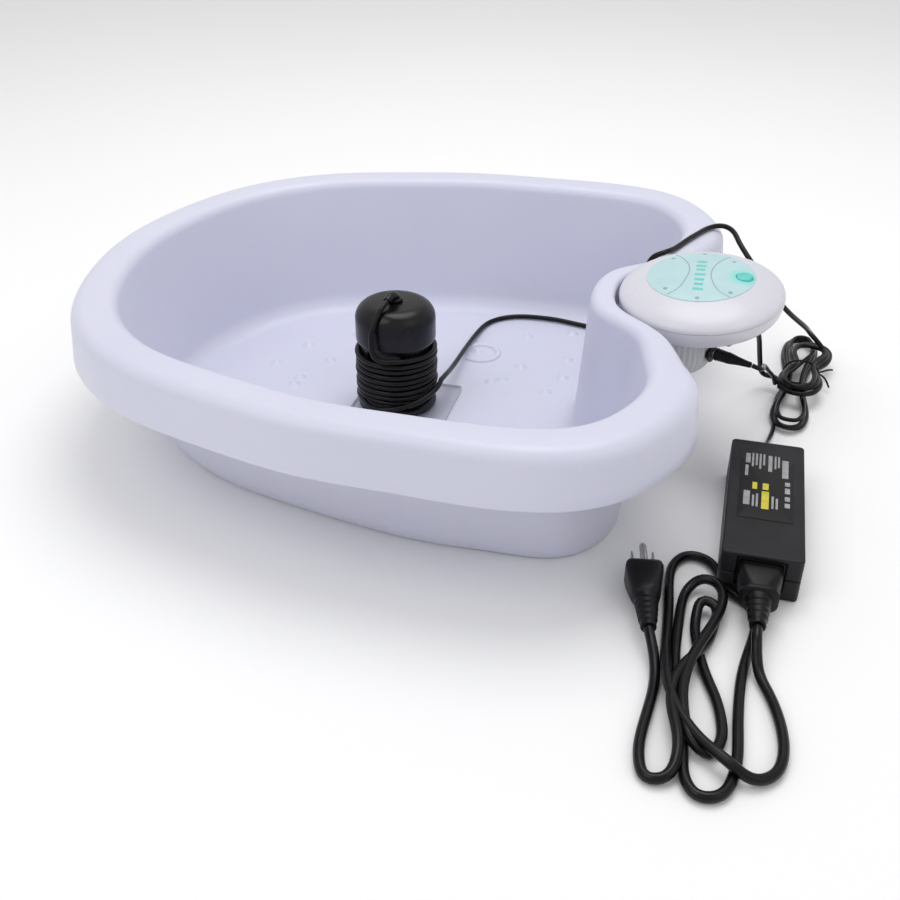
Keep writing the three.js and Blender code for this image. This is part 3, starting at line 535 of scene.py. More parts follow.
def tray_material():
    """Thin clear plastic, nearly unseen over its face and grey along its cut edge."""
    material = moulded("tray_clear", (196, 198, 208), (188, 190, 201), (0.06, 0.16), grain=300.0, cloud=30.0)
    tree = material.node_tree
    place = tree.nodes.new("ShaderNodeTexCoord")
    centred = tree.nodes.new("ShaderNodeVectorMath")
    centred.operation = "SUBTRACT"
    centred.inputs[1].default_value = TRAY_MIDDLE
    tree.links.new(place.outputs["Object"], centred.inputs[0])
    folded = tree.nodes.new("ShaderNodeVectorMath")
    folded.operation = "ABSOLUTE"
    tree.links.new(centred.outputs["Vector"], folded.inputs[0])
    split = tree.nodes.new("ShaderNodeSeparateXYZ")
    tree.links.new(folded.outputs["Vector"], split.inputs["Vector"])
    reach = math_node(tree, "MAXIMUM", split.outputs["X"], split.outputs["Y"])
    edge = (TRAY_WIDTH / 2 - 1.2) * MM
    shown = ranged(tree, reach, edge, edge + 0.6 * MM, 0.16, 0.75)
    tree.links.new(shown, tree.nodes["Principled BSDF"].inputs["Alpha"])
    return material


tray_clear = tray_material()


def label_film_material(centre):
    """Pale printed film, brighter and greener in a soft round halo about the button."""
    material = moulded("label_film", (186, 216, 220), (179, 210, 214), (0.32, 0.44), cloud=70.0,
                       bump=(0.08, 0.03))
    tree = material.node_tree
    shader = tree.nodes["Principled BSDF"]
    film = shader.inputs["Base Color"].links[0].from_socket
    place = tree.nodes.new("ShaderNodeTexCoord")
    distance = tree.nodes.new("ShaderNodeVectorMath")
    distance.operation = "DISTANCE"
    distance.inputs[1].default_value = centre
    tree.links.new(place.outputs["Object"], distance.inputs[0])
    halo = ranged(tree, distance.outputs["Value"], 7 * MM, 12.5 * MM, 1.0, 0.0)
    colour = mixed(tree, halo, film, rgb(140, 218, 211))
    tree.links.new(colour, shader.inputs["Base Color"])
    return material


# ---- floor ------------------------------------------------------------------------------------
def add_floor():
    """A flat sheet that stands just under the object, wide enough to fill every view."""
    size = 6.0
    corners = [(-size, -size, -0.0002), (size, -size, -0.0002), (size, size, -0.0002), (-size, size, -0.0002)]
    mesh = bpy.data.meshes.new("studio_floor")
    mesh.from_pydata(corners, [], [(0, 1, 2, 3)])
    mesh.materials.append(moulded("studio_paper", (252, 252, 252), (250, 250, 250), (0.8, 0.9), cloud=1.0))
    floor = bpy.data.objects.new("studio_floor", mesh)
    bpy.context.scene.collection.objects.link(floor)


# ---- cords ------------------------------------------------------------------------------------
ARRAY_CORD = 4.0
OUTPUT_CORD = 3.2
MAINS_CORD = 6.0
ARRAY_AXIS = (-21.4, -14.4)
TUB_FLOOR = 4.0
WOUND_TURNS = 9
WOUND_RADIUS = 28.6

CORD_OVER_CAP = [
    (-1.87, -13.4, 91.8), (-2.6, -17, 90.8), (-4, -23, 88.2), (-5.8, -29.2, 82.3), (-7, -33.4, 75),
    (-7.3, -34.5, 67), (-6, -34.6, 58),
]
ARRAY_ACROSS_TUB = [
    (12.2, -9, 27), (12.5, 0, 25.8), (11.6, 20, 21), (9.8, 55, 14.5), (8.8, 95, 9.2), (10, 122, 7),
    (14.5, 142, 6.4), (25, 154.5, 6.4), (38, 160.5, 6.6), (55, 162.5, 6.8), (74, 161.5, 6.8),
    (90, 158.5, 6.5), (106, 155, 6.4), (124, 148, 6.4),
    (140, 133, 6.6), (148, 116, 10), (151, 98, 24), (151.5, 84, 46), (151.5, 74, 72), (152, 69, 93),
    (153.5, 67, 106), (157.5, 65.5, 113.6), (163, 66, 116.6), (170, 76, 116.6), (178, 96, 116.6),
    (187, 117, 116.6), (195, 131, 116.6), (203, 136, 116.6), (210.5, 130, 116.2), (217, 117, 112.5),
    (227, 103, 104), (241, 93, 90), (256, 92, 74), (269, 105, 58), (280, 125, 42),
    (287, 140, 29), (290, 148, 23.4),
]
ARRAY_TO_PLUG = [
    (258, 93.5, 11.6), (252.5, 94.5, 12), (247.5, 90.5, 22), (244, 80, 44), (241, 68, 60), (236, 54, 73),
    (229, 43, 80), (223.9, 38.5, 81),
]
OUTPUT_FROM_ADAPTER = [
    (255.3, -30.6, 15), (255.4, -24, 14.6), (256, -12, 10), (257.5, 2, 4.4), (259.5, 14, 1.8), (261, 22, 1.8),
]
OUTPUT_TO_PLUG = [
    (259.5, 69, 19), (257.5, 64, 26), (254, 53, 35), (250, 38, 46), (247, 20, 57),
    (246, 0, 66), (245, -16, 73),
    (241, -27, 78), (236.9, -26.3, 79),
]
# From the far end of the hank back through its middle and up over its near side.
OUTPUT_THROUGH_HANK = [
    (292, 160, 8.6), (285, 137, 8.8), (275, 114, 9.4), (267, 96, 10.4), (262, 84, 12), (260, 76, 15),
]
MAINS_ROUTE = [
    # round a free loop on the floor in front of the connector
    (255.3, -222.8, 16.7), (255.3, -229, 15.8), (256.5, -238, 9.5), (259, -247, 4.6), (263, -256, 3.3),
    (268, -270, 3.3), (271.5, -286, 3.3), (272, -302, 3.3), (267, -316, 3.6), (257, -322, 5.5),
    # over the hank towards the plug, and round the first top loop
    (246, -318.5, 9.4), (234, -309.5, 9.6), (222.5, -296, 9.6), (214.5, -280, 9.6), (209.6, -262, 9.4),
    (207.6, -244, 7.4), (206.8, -226, 4.2), (206, -207, 3.3), (204.6, -188, 3.3), (203.6, -171, 3.3),
    (206, -157, 3.3), (213.5, -148.5, 3.3), (223, -149.5, 3.3), (230, -157.5, 3.3), (234.5, -168.5, 3.3),
    # under the connector and down to the foot of the hank
    (239.5, -177.5, 3.3), (246.5, -183.5, 3.3), (253, -191.5, 3.3), (255.5, -206, 3.3),
    (253, -226, 3.3), (250, -246, 3.3), (249, -268, 3.3), (249.5, -290, 3.3), (250, -308, 3.3),
    (248, -324, 3.3), (241.5, -335.5, 3.3), (232.5, -337, 3.3), (226, -329, 3.3), (223.5, -314, 3.3),
    # up, round the second top loop and down again, crossing to the left
    (221.5, -296, 3.3), (218, -276, 3.3), (214.4, -255, 3.3), (212.8, -234, 3.3), (212.6, -213, 3.3),
    (213, -196, 3.6), (216, -183, 5.6), (223, -177.5, 9), (231, -180, 9.8), (235.4, -189, 9.4),
    (235, -202, 8.6), (231, -219, 9.4), (225, -238, 9.6), (220.5, -257, 9.6), (219.6, -277, 9.6),
    # round the short foot loop on the right and up the middle
    (222, -294, 9.2), (227.5, -307, 7), (235, -310.5, 4.4), (240.6, -302, 3.3), (241, -287, 3.3),
    (237, -270, 3.3), (231, -254, 3.3), (226, -237, 3.3), (222.4, -220, 3.6), (222, -206, 5.4),
    (225.4, -196.4, 8.2), (231, -198.2, 8), (232.8, -209, 4.2), (230.4, -224, 3.4),
    # down over the others to the left foot loop and up to the plug
    (225, -240, 6.6), (218, -256, 9.8), (214, -272, 9.6), (215.5, -290, 9.6), (219.5, -306, 9.4),
    (220.5, -320, 7.6), (215.5, -331.5, 4.4), (208, -332.5, 3.3), (202.8, -323, 3.3), (201.6, -308, 3.3),
    (202.8, -291, 3.3), (204, -276, 3.3), (204, -262, 3.8), (202.2, -250.5, 6.2), (199.3, -241, 9.4),
    (196.65, -232.9, 11),
]


def stadium_turns(bottom, top, radii, turns, heights, start=0.0, wander=1.2, waist=0.42):
    """Oval turns lying round two centres: up one side, round the far end, back and round the near end.
    Width and height run evenly from the first turn to the last, so each turn lies beside the one
    before. The ends wander, and halfway along the sides a tie draws the turns together."""
    bottom = np.array(bottom, float)
    top = np.array(top, float)
    along = (top - bottom) / np.linalg.norm(top - bottom)
    side = np.array([along[1], -along[0]])
    points = []
    count = int(turns * 16)
    for k in range(count + 1):
        phase = (start + k / 16) % 1.0
        turn = k / 16
        reach = radii[0] + (radii[1] - radii[0]) * k / count
        slip = 3 * wander * math.sin(3.7 * turn + 0.6)
        # Quarters of a turn: left side, far end, right side, near end.
        quarter, part = divmod(phase * 4, 1)
        swing = math.pi * part
        side_reach = reach * (1 - waist * math.exp(-(((part - 0.5) / 0.22) ** 2)))
        if quarter == 0:
            spot = bottom + (top - bottom) * part - side * side_reach
        elif quarter == 1:
            spot = (top + side * (-reach * math.cos(swing))
                    + along * (reach * math.sin(swing) + slip * math.sin(swing)))
        elif quarter == 2:
            spot = top + (bottom - top) * part + side * side_reach
        else:
            spot = bottom + side * (reach * math.cos(swing)) - along * (reach + slip) * math.sin(swing)
        points.append((spot[0], spot[1], heights[0] + (heights[1] - heights[0]) * k / count))
    return points


def add_cord(name, route, diameter, body, replaced):
    rings = tube_rings(route, diameter / 2)
    cord = add_piece(name, [capped(rings)], cord_black, body, replaced, sharp=60)
    return cord


def wound_route():
    """The array's cord: out of its boot, over the cap, then turns going down the sleeve side by side,
    and a last stretch that climbs outside them to where it leaves."""
    first_angle = math.radians(-94)
    last_angle = math.radians(9.1) + WOUND_TURNS * 2 * math.pi
    climb = math.radians(150)
    angle = np.linspace(first_angle, last_angle, WOUND_TURNS * 24)
    down = np.clip((angle - first_angle) / (last_angle - climb - first_angle), 0, 1)
    late = np.clip((angle - (last_angle - climb)) / climb, 0, 1)
    outward = np.clip(late / 0.3, 0, 1)
    rise = np.clip((late - 0.2) / 0.8, 0, 1)
    early = np.clip(1 - (angle - first_angle) / math.radians(60), 0, 1)
    loose = 0.4 + 0.4 * np.sin(0.37 * angle)
    radius = WOUND_RADIUS + loose + 5.2 * early**2 * (3 - 2 * early) + 4.8 * outward**2 * (3 - 2 * outward)
    height = 51.6 - 39.1 * down + 10.5 * rise**2 * (3 - 2 * rise)
    height = height + 0.9 * np.sin(angle + 0.6) * np.sin(math.pi * down) + 2.4 * early
    turns = np.stack([radius * np.cos(angle), radius * np.sin(angle), height], axis=1)
    local = np.vstack([CORD_OVER_CAP, turns])
    return smooth_route(local + np.array([*ARRAY_AXIS, TUB_FLOOR]), 2.0)


def add_array_cord():
    add_cord("array_cord_on_sleeve", wound_route(), ARRAY_CORD, "array",
             ("array_cord_winding", "array_cord_over_cap"))
    hank_turns = stadium_turns((278, 84), (288, 138), (10, 16.5), 2.5, (18.4, 12.2), start=0.44)
    run = add_cord("array_cord_run", smooth_route(ARRAY_ACROSS_TUB[:-1] + hank_turns[1:], 2.0), ARRAY_CORD,
                   None, ("array_cord_free_run", "array_cord_hank"))
    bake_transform(run)
    tail = add_cord("array_cord_to_plug", smooth_route(hank_turns[-1:] + ARRAY_TO_PLUG, 2.0), ARRAY_CORD,
                    None, ("array_cord_plug_end",))
    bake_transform(tail)


def add_output_cord():
    turns = stadium_turns((272, 38), (282, 170), (13.2, 6.8), 3.45, (1.7, 9.4), wander=0.9)
    add_cord("output_cord_run", smooth_route(OUTPUT_FROM_ADAPTER + turns[1:], 1.6), OUTPUT_CORD, "root",
             ("output_cord_adapter_end", "output_cord_hank"))
    tail_points = turns[-1:] + OUTPUT_THROUGH_HANK + OUTPUT_TO_PLUG
    tail = add_cord("output_cord_to_plug", smooth_route(tail_points, 1.6), OUTPUT_CORD, None,
                    ("output_cord_plug_end",))
    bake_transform(tail)


def add_mains_cord(plug_pieces):
    replaced = ("mains_cord_free_loop", "mains_cord_under_run", "mains_cord_plug_end", "mains_cord_hank")
    add_cord("mains_cord", smooth_route(MAINS_ROUTE, 2.5), MAINS_CORD, "root", replaced)


# ---- tub --------------------------------------------------------------------------------------
RIM_HEIGHT = 114.0
SKIRT_HEIGHT = 36.0
WALL = 3.2
FLOOR_RADIUS = 14.0
LIP_OUTER_RADIUS = 11.0
LIP_NOTCH_RADIUS = 4.0
LIP_INNER_RADIUS = 7.0
SKIRT_FLARE = 2.5
CONTROL_X = 197.4
STATIONS = 14


def notch(radius, degrees):
    angle = math.radians(degrees)
    return (CONTROL_X - radius * math.cos(angle), radius * math.sin(angle))


RIM_HALF = [
    (-254, 0), (-244, 69), (-211, 142.5), (-150, 195), (-78, 220), (-13.5, 234), (48, 236.5), (107, 236.5),
    (161, 220), (198, 172), (207.5, 122), (190, 83), notch(60.5, 60), notch(60, 30), notch(59, 0),
]
LIP_HALF = [
    (-221, 0), (-213, 57), (-185, 121), (-135, 165.5), (-70, 188), (-9, 201.5), (48, 203.5), (105, 202),
    (143, 190), (167, 157), (174, 122), (168, 92), notch(76, 60), notch(76, 30), notch(76, 0),
]
FOOT_HALF = [
    (-205, 0), (-196.5, 50), (-165, 107), (-118, 142), (-58, 161), (-4, 172), (45, 178), (98, 177),
    (134, 172), (157.5, 150), (164, 122), (160, 94), notch(80, 57), notch(80, 30), notch(80, 0),
]


def whole_outline(half):
    """The half outline and its mirror as one smooth closed curve, counter-clockwise."""
    mirrored = [(x, -y) for x, y in reversed(half[1:-1])]
    points = (half + mirrored)[::-1]
    pieces = spline_pieces(points, closed=True)
    place = np.arange(len(points) * STATIONS) / STATIONS
    return spline_at(pieces, place)


def inset(outline, distance):
    """The outline moved inwards, square to its own direction, by one distance or one for each point."""
    along = np.roll(outline, -1, axis=0) - np.roll(outline, 1, axis=0)
    along /= np.linalg.norm(along, axis=1)[:, None]
    return outline + np.reshape(distance, (-1, 1)) * np.column_stack([-along[:, 1], along[:, 0]])


rim = whole_outline(RIM_HALF)
lip = whole_outline(LIP_HALF)
foot = whole_outline(FOOT_HALF)
# The lip is crisper and its skirt more upright round the notch, close about the control unit.
from_control = np.hypot(rim[:, 0] - CONTROL_X, rim[:, 1])
away = np.clip((from_control - 66) / 34, 0, 1)
away = away**2 * (3 - 2 * away)
lip_radius = LIP_NOTCH_RADIUS + (LIP_OUTER_RADIUS - LIP_NOTCH_RADIUS) * away
flare = 0.3 + (SKIRT_FLARE - 0.3) * away


def inner_wall(z, extra=0.0):
    """Inside of the tub's wall at a height: straight from the lip to the foot."""
    part = (RIM_HEIGHT - z) / RIM_HEIGHT
    return inset(lip + (inset(foot, WALL) - lip) * part, extra)


def outside_rings():
    """From the middle of the underside out to the foot, up the wall, round under the lip and up
    the outside of the skirt to the crown of the lip."""
    skirt_low = RIM_HEIGHT - SKIRT_HEIGHT
    rings = [level(inset(foot, 6) * s, 0.0) for s in (0.05, 0.3, 0.6, 0.85)]
    rings += [level(inset(foot, 5.0 - 3.6 * math.sin(a)), 3 * (1 - math.cos(a))) for a in (0, 0.5, 1.0, 1.4)]
    rings += [level(inner_wall(z, -WALL), z) for z in np.linspace(6, RIM_HEIGHT - 8, 16)]
    rings.append(level(inner_wall(RIM_HEIGHT - 4.6, -WALL - 1.5), RIM_HEIGHT - 4.2))
    rings.append(level(inner_wall(RIM_HEIGHT, -WALL - 5), RIM_HEIGHT - WALL))
    for distance, z in ((WALL + 9.5, 110.6), (WALL + 6, 108), (WALL + 3.6, 103.5), (WALL + 2.5, 99)):
        rings.append(level(inset(rim, distance), z))
    rings += [level(inset(rim, WALL + 2.5 * s), skirt_low + 1.4 + 19 * s) for s in (0.7, 0.35, 0.0)]
    for a in np.linspace(-1, 1, 7) * math.pi / 2:
        rings.append(level(
            inset(rim, WALL / 2 - WALL / 2 * math.sin(a)), skirt_low + 1.4 - 1.4 * math.cos(a)))
    rings += [level(inset(rim, flare * s), skirt_low + 1.4 + 23.6 * s) for s in (0.25, 0.5, 0.75)]
    for a in np.linspace(0, math.pi / 2, 10):
        distance = flare + lip_radius * (1 - math.cos(a))
        rings.append(level(inset(rim, distance), RIM_HEIGHT - lip_radius * (1 - math.sin(a))))
    return rings


def inside_rings():
    """Across the lip, down the inner wall, round the fillet and over the floor to its middle."""
    rings = []
    outer = inset(rim, flare + lip_radius)
    inner = inset(lip, -LIP_INNER_RADIUS)
    for part in np.linspace(0, 1, 6)[1:-1]:
        rings.append(level(outer + (inner - outer) * part, RIM_HEIGHT + 0.45 * math.sin(math.pi * part)))
    for b in np.linspace(math.pi / 2, 0, 9):
        z = RIM_HEIGHT - LIP_INNER_RADIUS * (1 - math.sin(b))
        rings.append(level(inner_wall(z, LIP_INNER_RADIUS * (math.cos(b) - 1)), z))
    rings += [level(inner_wall(z), z) for z in np.linspace(RIM_HEIGHT - 9, TUB_FLOOR + FLOOR_RADIUS, 16)]
    for a in np.linspace(0, math.pi / 2, 9)[1:]:
        z = TUB_FLOOR + FLOOR_RADIUS * (1 - math.sin(a))
        rings.append(level(inner_wall(z, FLOOR_RADIUS * (1 - math.cos(a))), z))
    edge = inner_wall(TUB_FLOOR, FLOOR_RADIUS)
    rings += [level(edge * s, TUB_FLOOR) for s in (0.97, 0.85, 0.65, 0.4, 0.2, 0.05)]
    return rings


def rail_rings():
    """The dovetail rail on the notch wall, wider at its face."""
    outline = np.array([(-61, -9), (-52.9, -13), (-52.9, 13), (-61, 9)], float) + np.array([CONTROL_X, 0])
    middle = outline.mean(axis=0)
    small = middle + (outline - middle) * 0.93
    return [level(small, 79), level(outline, 80), level(outline, 96), level(small, 97)]


def add_tub():
    skin = capped(outside_rings() + inside_rings())
    add_piece("tub", [skin, capped(rail_rings())], tub_white, "root", ("basin",), sharp=50)


BUMP_PLACES = [
    (17, 88), (52, 127), (58, 71), (89, 143), (93, 93), (40, 39), (48, 45), (95, 61), (86, 34),
    (-70, 60), (-98, 40), (-92, 92), (-126, 62), (-140, 24), (-112, 6),
]
BUMP_RADIUS = 6.5
BUMP_HEIGHT = 2.4
RING_PLACES = [(20, 86), (20, -86)]


def dome_skin(x, y, radius, height):
    """A low round bump: its height falls off as the square of one less the squared distance."""
    part = np.linspace(1, 0.04, 9)
    profile = np.column_stack([radius * part, TUB_FLOOR - 0.25 + (height + 0.25) * (1 - part**2) ** 2])
    under = np.array([[0.3, TUB_FLOOR - 0.6], [radius, TUB_FLOOR - 0.6]])
    return capped(moved(lathe(np.vstack([under, profile]), 28), (x, y, 0)))


def ring_skin(x, y, radius, width, height):
    """A low raised ring: a flattened circle carried round a circle."""
    angle = np.arange(12) * (2 * math.pi / 12)
    profile = np.column_stack([radius + width / 2 * np.cos(angle), TUB_FLOOR + height * np.sin(angle)])
    return looped(moved(lathe(profile, 64), (x, y, 0)))


def add_floor_relief():
    places = BUMP_PLACES + [(x, -y) for x, y in BUMP_PLACES]
    skins = [dome_skin(x, y, BUMP_RADIUS, BUMP_HEIGHT) for x, y in places]
    skins += [ring_skin(x, y, 15.0, 5.4, 1.9) for x, y in RING_PLACES]
    add_piece("tub_floor_relief", skins, tub_white, "root")


# ---- control unit -----------------------------------------------------------------------------
HEAD_PLACE = np.array([CONTROL_X - 1, 1, RIM_HEIGHT])
HEAD_AXIS = Vector((-0.065, -0.101, 1)).normalized()
HEAD_TURN = np.array(Vector((0, 0, 1)).rotation_difference(HEAD_AXIS).to_matrix())
DOME_RADIUS = 56.1
DOME_HEIGHT = 14.0
SEAM = 1.7
BAND_HEIGHT = 13.0
SHELL = 2.2
BUTTON_PLACE = np.array([28.0, 2.0])
BUTTON_RADIUS = 5.6
LABEL_PLACE = np.array([-1.0, 4.0])
LABEL_RADIUS = 36.5
DRUM_X = CONTROL_X - 19.4
DRUM_RADIUS = 33.0
DRUM_BOTTOM = 60.0


def on_head(points):
    """Points given about the leaning head's own middle and axis, in the object's frame."""
    return rotated(points, HEAD_TURN) + HEAD_PLACE


def dome_height(x, y, offset=0.0):
    """Half an ellipsoid standing on the seam."""
    reach = np.clip(1 - (x**2 + y**2) / DOME_RADIUS**2, 0, 1)
    return SEAM + GAP + offset + DOME_HEIGHT * np.sqrt(reach)


def dome_annulus(inner_place, inner_radius, outer_place, outer_radius, parts, offset, columns=144):
    """Rings on the dome between two circles that need not share a centre."""
    x, y = circle(columns)
    inner = np.column_stack([inner_place[0] + inner_radius * x, inner_place[1] + inner_radius * y])
    outer = np.column_stack([outer_place[0] + outer_radius * x, outer_place[1] + outer_radius * y])
    rings = []
    for part in parts:
        flat = inner + (outer - inner) * part
        rings.append(level(flat, dome_height(flat[:, 0], flat[:, 1], offset)))
    return rings


def add_top_shell():
    parts = np.sin(np.linspace(0, math.pi / 2, 26))
    hole = BUTTON_RADIUS + 0.35
    upper = dome_annulus(BUTTON_PLACE, hole, (0, 0), DOME_RADIUS, parts, 0.0)
    lower = dome_annulus(BUTTON_PLACE, hole, (0, 0), DOME_RADIUS - SHELL, parts[:-1], -SHELL)[::-1]
    lower[0] = level(np.stack(circle(144), axis=1) * (DOME_RADIUS - SHELL), SEAM + GAP)
    add_piece("controller_top", [looped(on_head(upper + lower))], control_white, "controller",
              ("controller_top_shell",), sharp=50)


def bowl_rings():
    """A round bowl leaning with the head: a quarter ellipse from its floor up to the seam."""
    turn = np.linspace(0, math.pi / 2, 14)
    outer = np.column_stack([
        44.5 + 11.6 * np.sin(turn), -BAND_HEIGHT + (BAND_HEIGHT + SEAM) * (1 - np.cos(turn))])
    inner = np.column_stack([
        44 + 9.9 * np.sin(turn),
        SHELL - BAND_HEIGHT + (BAND_HEIGHT + SEAM - SHELL) * (1 - np.cos(turn))])
    profile = np.vstack([[[0.3, -BAND_HEIGHT]], outer, inner[::-1], [[0.3, SHELL - BAND_HEIGHT]]])
    return on_head(lathe(profile, 144))


def drum_rings():
    """An upright cup with shallow flutes down its side, its top cut to the head's lean."""
    columns = 384
    turn = np.linspace(0, math.pi / 2, 8)
    radius = np.concatenate([[0.3, 8], 17 + 16 * np.sin(turn), [DRUM_RADIUS, DRUM_RADIUS]])
    height = np.concatenate([[DRUM_BOTTOM] * 2, DRUM_BOTTOM + 17 * (1 - np.cos(turn)), [88, 999]])
    flute_depth = np.concatenate([[0, 0], 0.75 * np.sin(turn), [0.75, 0.75]])
    x, y = circle(columns)
    flute = 0.5 - 0.5 * np.cos(np.arange(columns) * (2 * math.pi / 8))
    rings = []
    for r, z, depth in zip(radius, height, flute_depth):
        wall = r - depth * flute
        rings.append(np.column_stack([DRUM_X + wall * x, wall * y, np.full(columns, z)]))
    for ring in (rings[-1], np.array(rings[-2])):
        ring[:, 2] = (RIM_HEIGHT - 12.2 + 0.065 * (ring[:, 0] - HEAD_PLACE[0])
                      + 0.101 * (ring[:, 1] - HEAD_PLACE[1]))
    return rings


def cheek_rings(side):
    """One side of the pocket that hangs on the tub's rail."""
    block = slab(12, 4, 79, 101, 0.8, 0.6)
    return moved(block, (CONTROL_X - 49, side * 15.8, 0))


def add_lower_shell():
    skins = [capped(bowl_rings())]
    add_piece("controller_bowl", skins, control_white, "controller",
              ("controller_lower_shell",), sharp=50)
    # The drum takes the white with painted shade, as it stands in shade under the head.
    skins = [capped(drum_rings()), capped(cheek_rings(1)), capped(cheek_rings(-1))]
    add_piece("controller_drum", skins, drum_white_painted_shade, "controller",
              ("controller_lower_shell",), sharp=60)


def add_label():
    middle = on_head(np.array([[*BUTTON_PLACE, dome_height(28.0, 2.0, 0.4)]]))[0] * MM
    film = label_film_material(tuple(middle))
    parts = np.linspace(0, 1, 16)
    hole = BUTTON_RADIUS + 0.35
    upper = dome_annulus(BUTTON_PLACE, hole, LABEL_PLACE, LABEL_RADIUS, parts, 0.4)
    lower = dome_annulus(BUTTON_PLACE, hole, LABEL_PLACE, LABEL_RADIUS, parts, 0.05)[::-1]
    add_piece("control_label", [looped(on_head(upper + lower))], film, "controller",
              ("label_overlay",), sharp=40)


def printed_ribbon(points, width, height=0.46):
    """A thin raised strip of ink along a line drawn on the dome, square-ended."""
    route = smooth_route([(x, y, 0) for x, y in points], 0.8)[:, :2]
    along = np.gradient(route, axis=0)
    along /= np.linalg.norm(along, axis=1)[:, None]
    side = np.column_stack([-along[:, 1], along[:, 0]]) * width / 2
    corners = []
    for sign, offset in ((-1, 0.3), (1, 0.3), (1, height), (-1, height)):
        flat = route + sign * side
        corners.append(level(flat, dome_height(flat[:, 0], flat[:, 1], offset)))
    return capped(on_head(np.stack(corners, axis=1)))


LEFT_ARC = [(-21, 37), (-12, 20), (-9, 5), (-11, -8), (-15, -19), (-21, -25)]
RIGHT_ARC = [(17, 35), (9, 19), (6, -1), (9, -13), (13, -20), (20, -25)]
DOT_PLACES = [(-22, 28), (-23, -18), (-1, 37.4), (-1, -29), (20, 25), (20, -20)]
BAR_PLACES = [-19, -13, -7, 0, 7, 13, 20]
BAR_WIDTHS = [7, 6, 6.5, 7, 6, 7, 6.5]


def add_label_print():
    """Plain arcs, dots and bars; the bars stand where a word would be and spell nothing."""
    thin = [printed_ribbon(LEFT_ARC, 0.7), printed_ribbon(RIGHT_ARC, 0.7)]
    add_piece("label_lines", thin, grey_print, "controller")
    bars = [printed_ribbon([(-1.5 - w / 2, y + 0.4), (-1.5, y + 0.2), (-1.5 + w / 2, y)], 2.9)
            for y, w in zip(BAR_PLACES, BAR_WIDTHS)]
    add_piece("label_bars", bars, teal_print, "controller")
    dots = [dome_annulus((x, y), 0.05, (x, y), 1.5, (0, 0.4, 0.8, 1.0), 0.46, 24)
            + dome_annulus((x, y), 0.05, (x, y), 1.5, (1.0, 0.0), 0.3, 24) for x, y in DOT_PLACES]
    add_piece("label_dots", [capped(on_head(d)) for d in dots], grey_print, "controller")


def add_button():
    """A shallow dished cap on a round stem."""
    top = float(dome_height(BUTTON_PLACE[0], BUTTON_PLACE[1], GAP + 0.5)) + 0.9
    r = BUTTON_RADIUS
    profile = [(0.02, 3.2), (r - 0.4, 3.2), (r, 3.6), (r, top - 1.1), (r - 0.3, top - 0.45),
               (r - 1.0, top - 0.05),
               (r - 1.7, top), (r - 2.6, top - 0.25), (r - 4, top - 0.45), (0.02, top - 0.5)]
    rings = moved(lathe(profile, 64), (*BUTTON_PLACE, 0))
    add_piece("button_cap", [capped(on_head(rings))], button_teal, "power_button",
              ("power_button",), sharp=70)


SOCKETS = {"power": (-24, 79.0, 5.5), "array": (40, 81.0, 6.5)}


def at_socket(rings, name, away=DRUM_RADIUS + 0.6):
    """Turned rings laid over so that their axis points out of a socket in the drum."""
    degrees, height, _ = SOCKETS[name]
    angle = math.radians(degrees)
    out = Vector((math.cos(angle), math.sin(angle), 0))
    matrix = np.array(Vector((0, 0, 1)).rotation_difference(out).to_matrix())
    return rotated(moved(rings, (0, 0, away)), matrix) + np.array([DRUM_X, 0, height])


def add_sockets_and_plugs():
    for name, bore in (("power", 3.2), ("array", 4.0)):
        r = SOCKETS[name][2]
        profile = [(0.02, -13), (r, -13), (r, 0), (r + 1.2, 0), (r + 1.2, 1.2), (bore, 1.2),
                   (bore, -9), (0.02, -9)]
        add_piece(f"{name}_jack", [capped(at_socket(turned(profile, 0.3, 48), name))], black_plastic,
                  "controller", (f"{name}_socket",))
    ribs = [(4.45 - 0.035 * k - (0.45 if k % 2 else 0), 5 + 0.9 * k) for k in range(9)]
    power = ([(0.02, 3.4), (4.0, 3.4), (4.5, 4.2)] + ribs
             + [(3.9, 15), (3.0, 20), (2.3, 26), (2.0, 30), (0.02, 30)])
    array = [(0.02, -6), (3.6, -6), (3.6, 1.6), (5.2, 1.6), (5.6, 2.4), (5.6, 5), (5.1, 5.4),
             (5.1, 6.6), (5.6, 7),
             (5.6, 9), (5.1, 9.4), (5.1, 10.6), (5.6, 11), (5.4, 14), (3.6, 18), (2.5, 24),
             (2.2, 26), (0.02, 26)]
    return [
        add_piece("power_plug_grip", [capped(at_socket(turned(power, 0.25, 48), "power"))], black_plastic,
                  "controller", ("power_plug",)),
        add_piece("array_plug_grip", [capped(at_socket(turned(array, 0.25, 48), "array"))], black_plastic,
                  "controller", ("array_plug",)),
    ]


# ---- array ------------------------------------------------------------------------------------
CAP_RADIUS = 30.0
CAP_LOW = 57.0
CAP_HIGH = 87.0
# The boot that bends over from the collar and lies along the top of the cap.
GLAND_BOOT = [(0, 0, 89.2), (0, -1.8, 91.4), (-0.6, -6, 93), (-1.8, -13, 91.9)]


def on_array(rings):
    return moved(rings, (*ARRAY_AXIS, TUB_FLOOR))


def add_tray():
    sheet = slab(TRAY_WIDTH, TRAY_WIDTH, TUB_FLOOR + 0.3, TUB_FLOOR + 2.4, 4, 0.4)
    add_piece("tray_sheet", [capped(moved(sheet, (TRAY_MIDDLE[0] / MM, TRAY_MIDDLE[1] / MM, 0)))], tray_clear,
              "root", ("array_tray",))


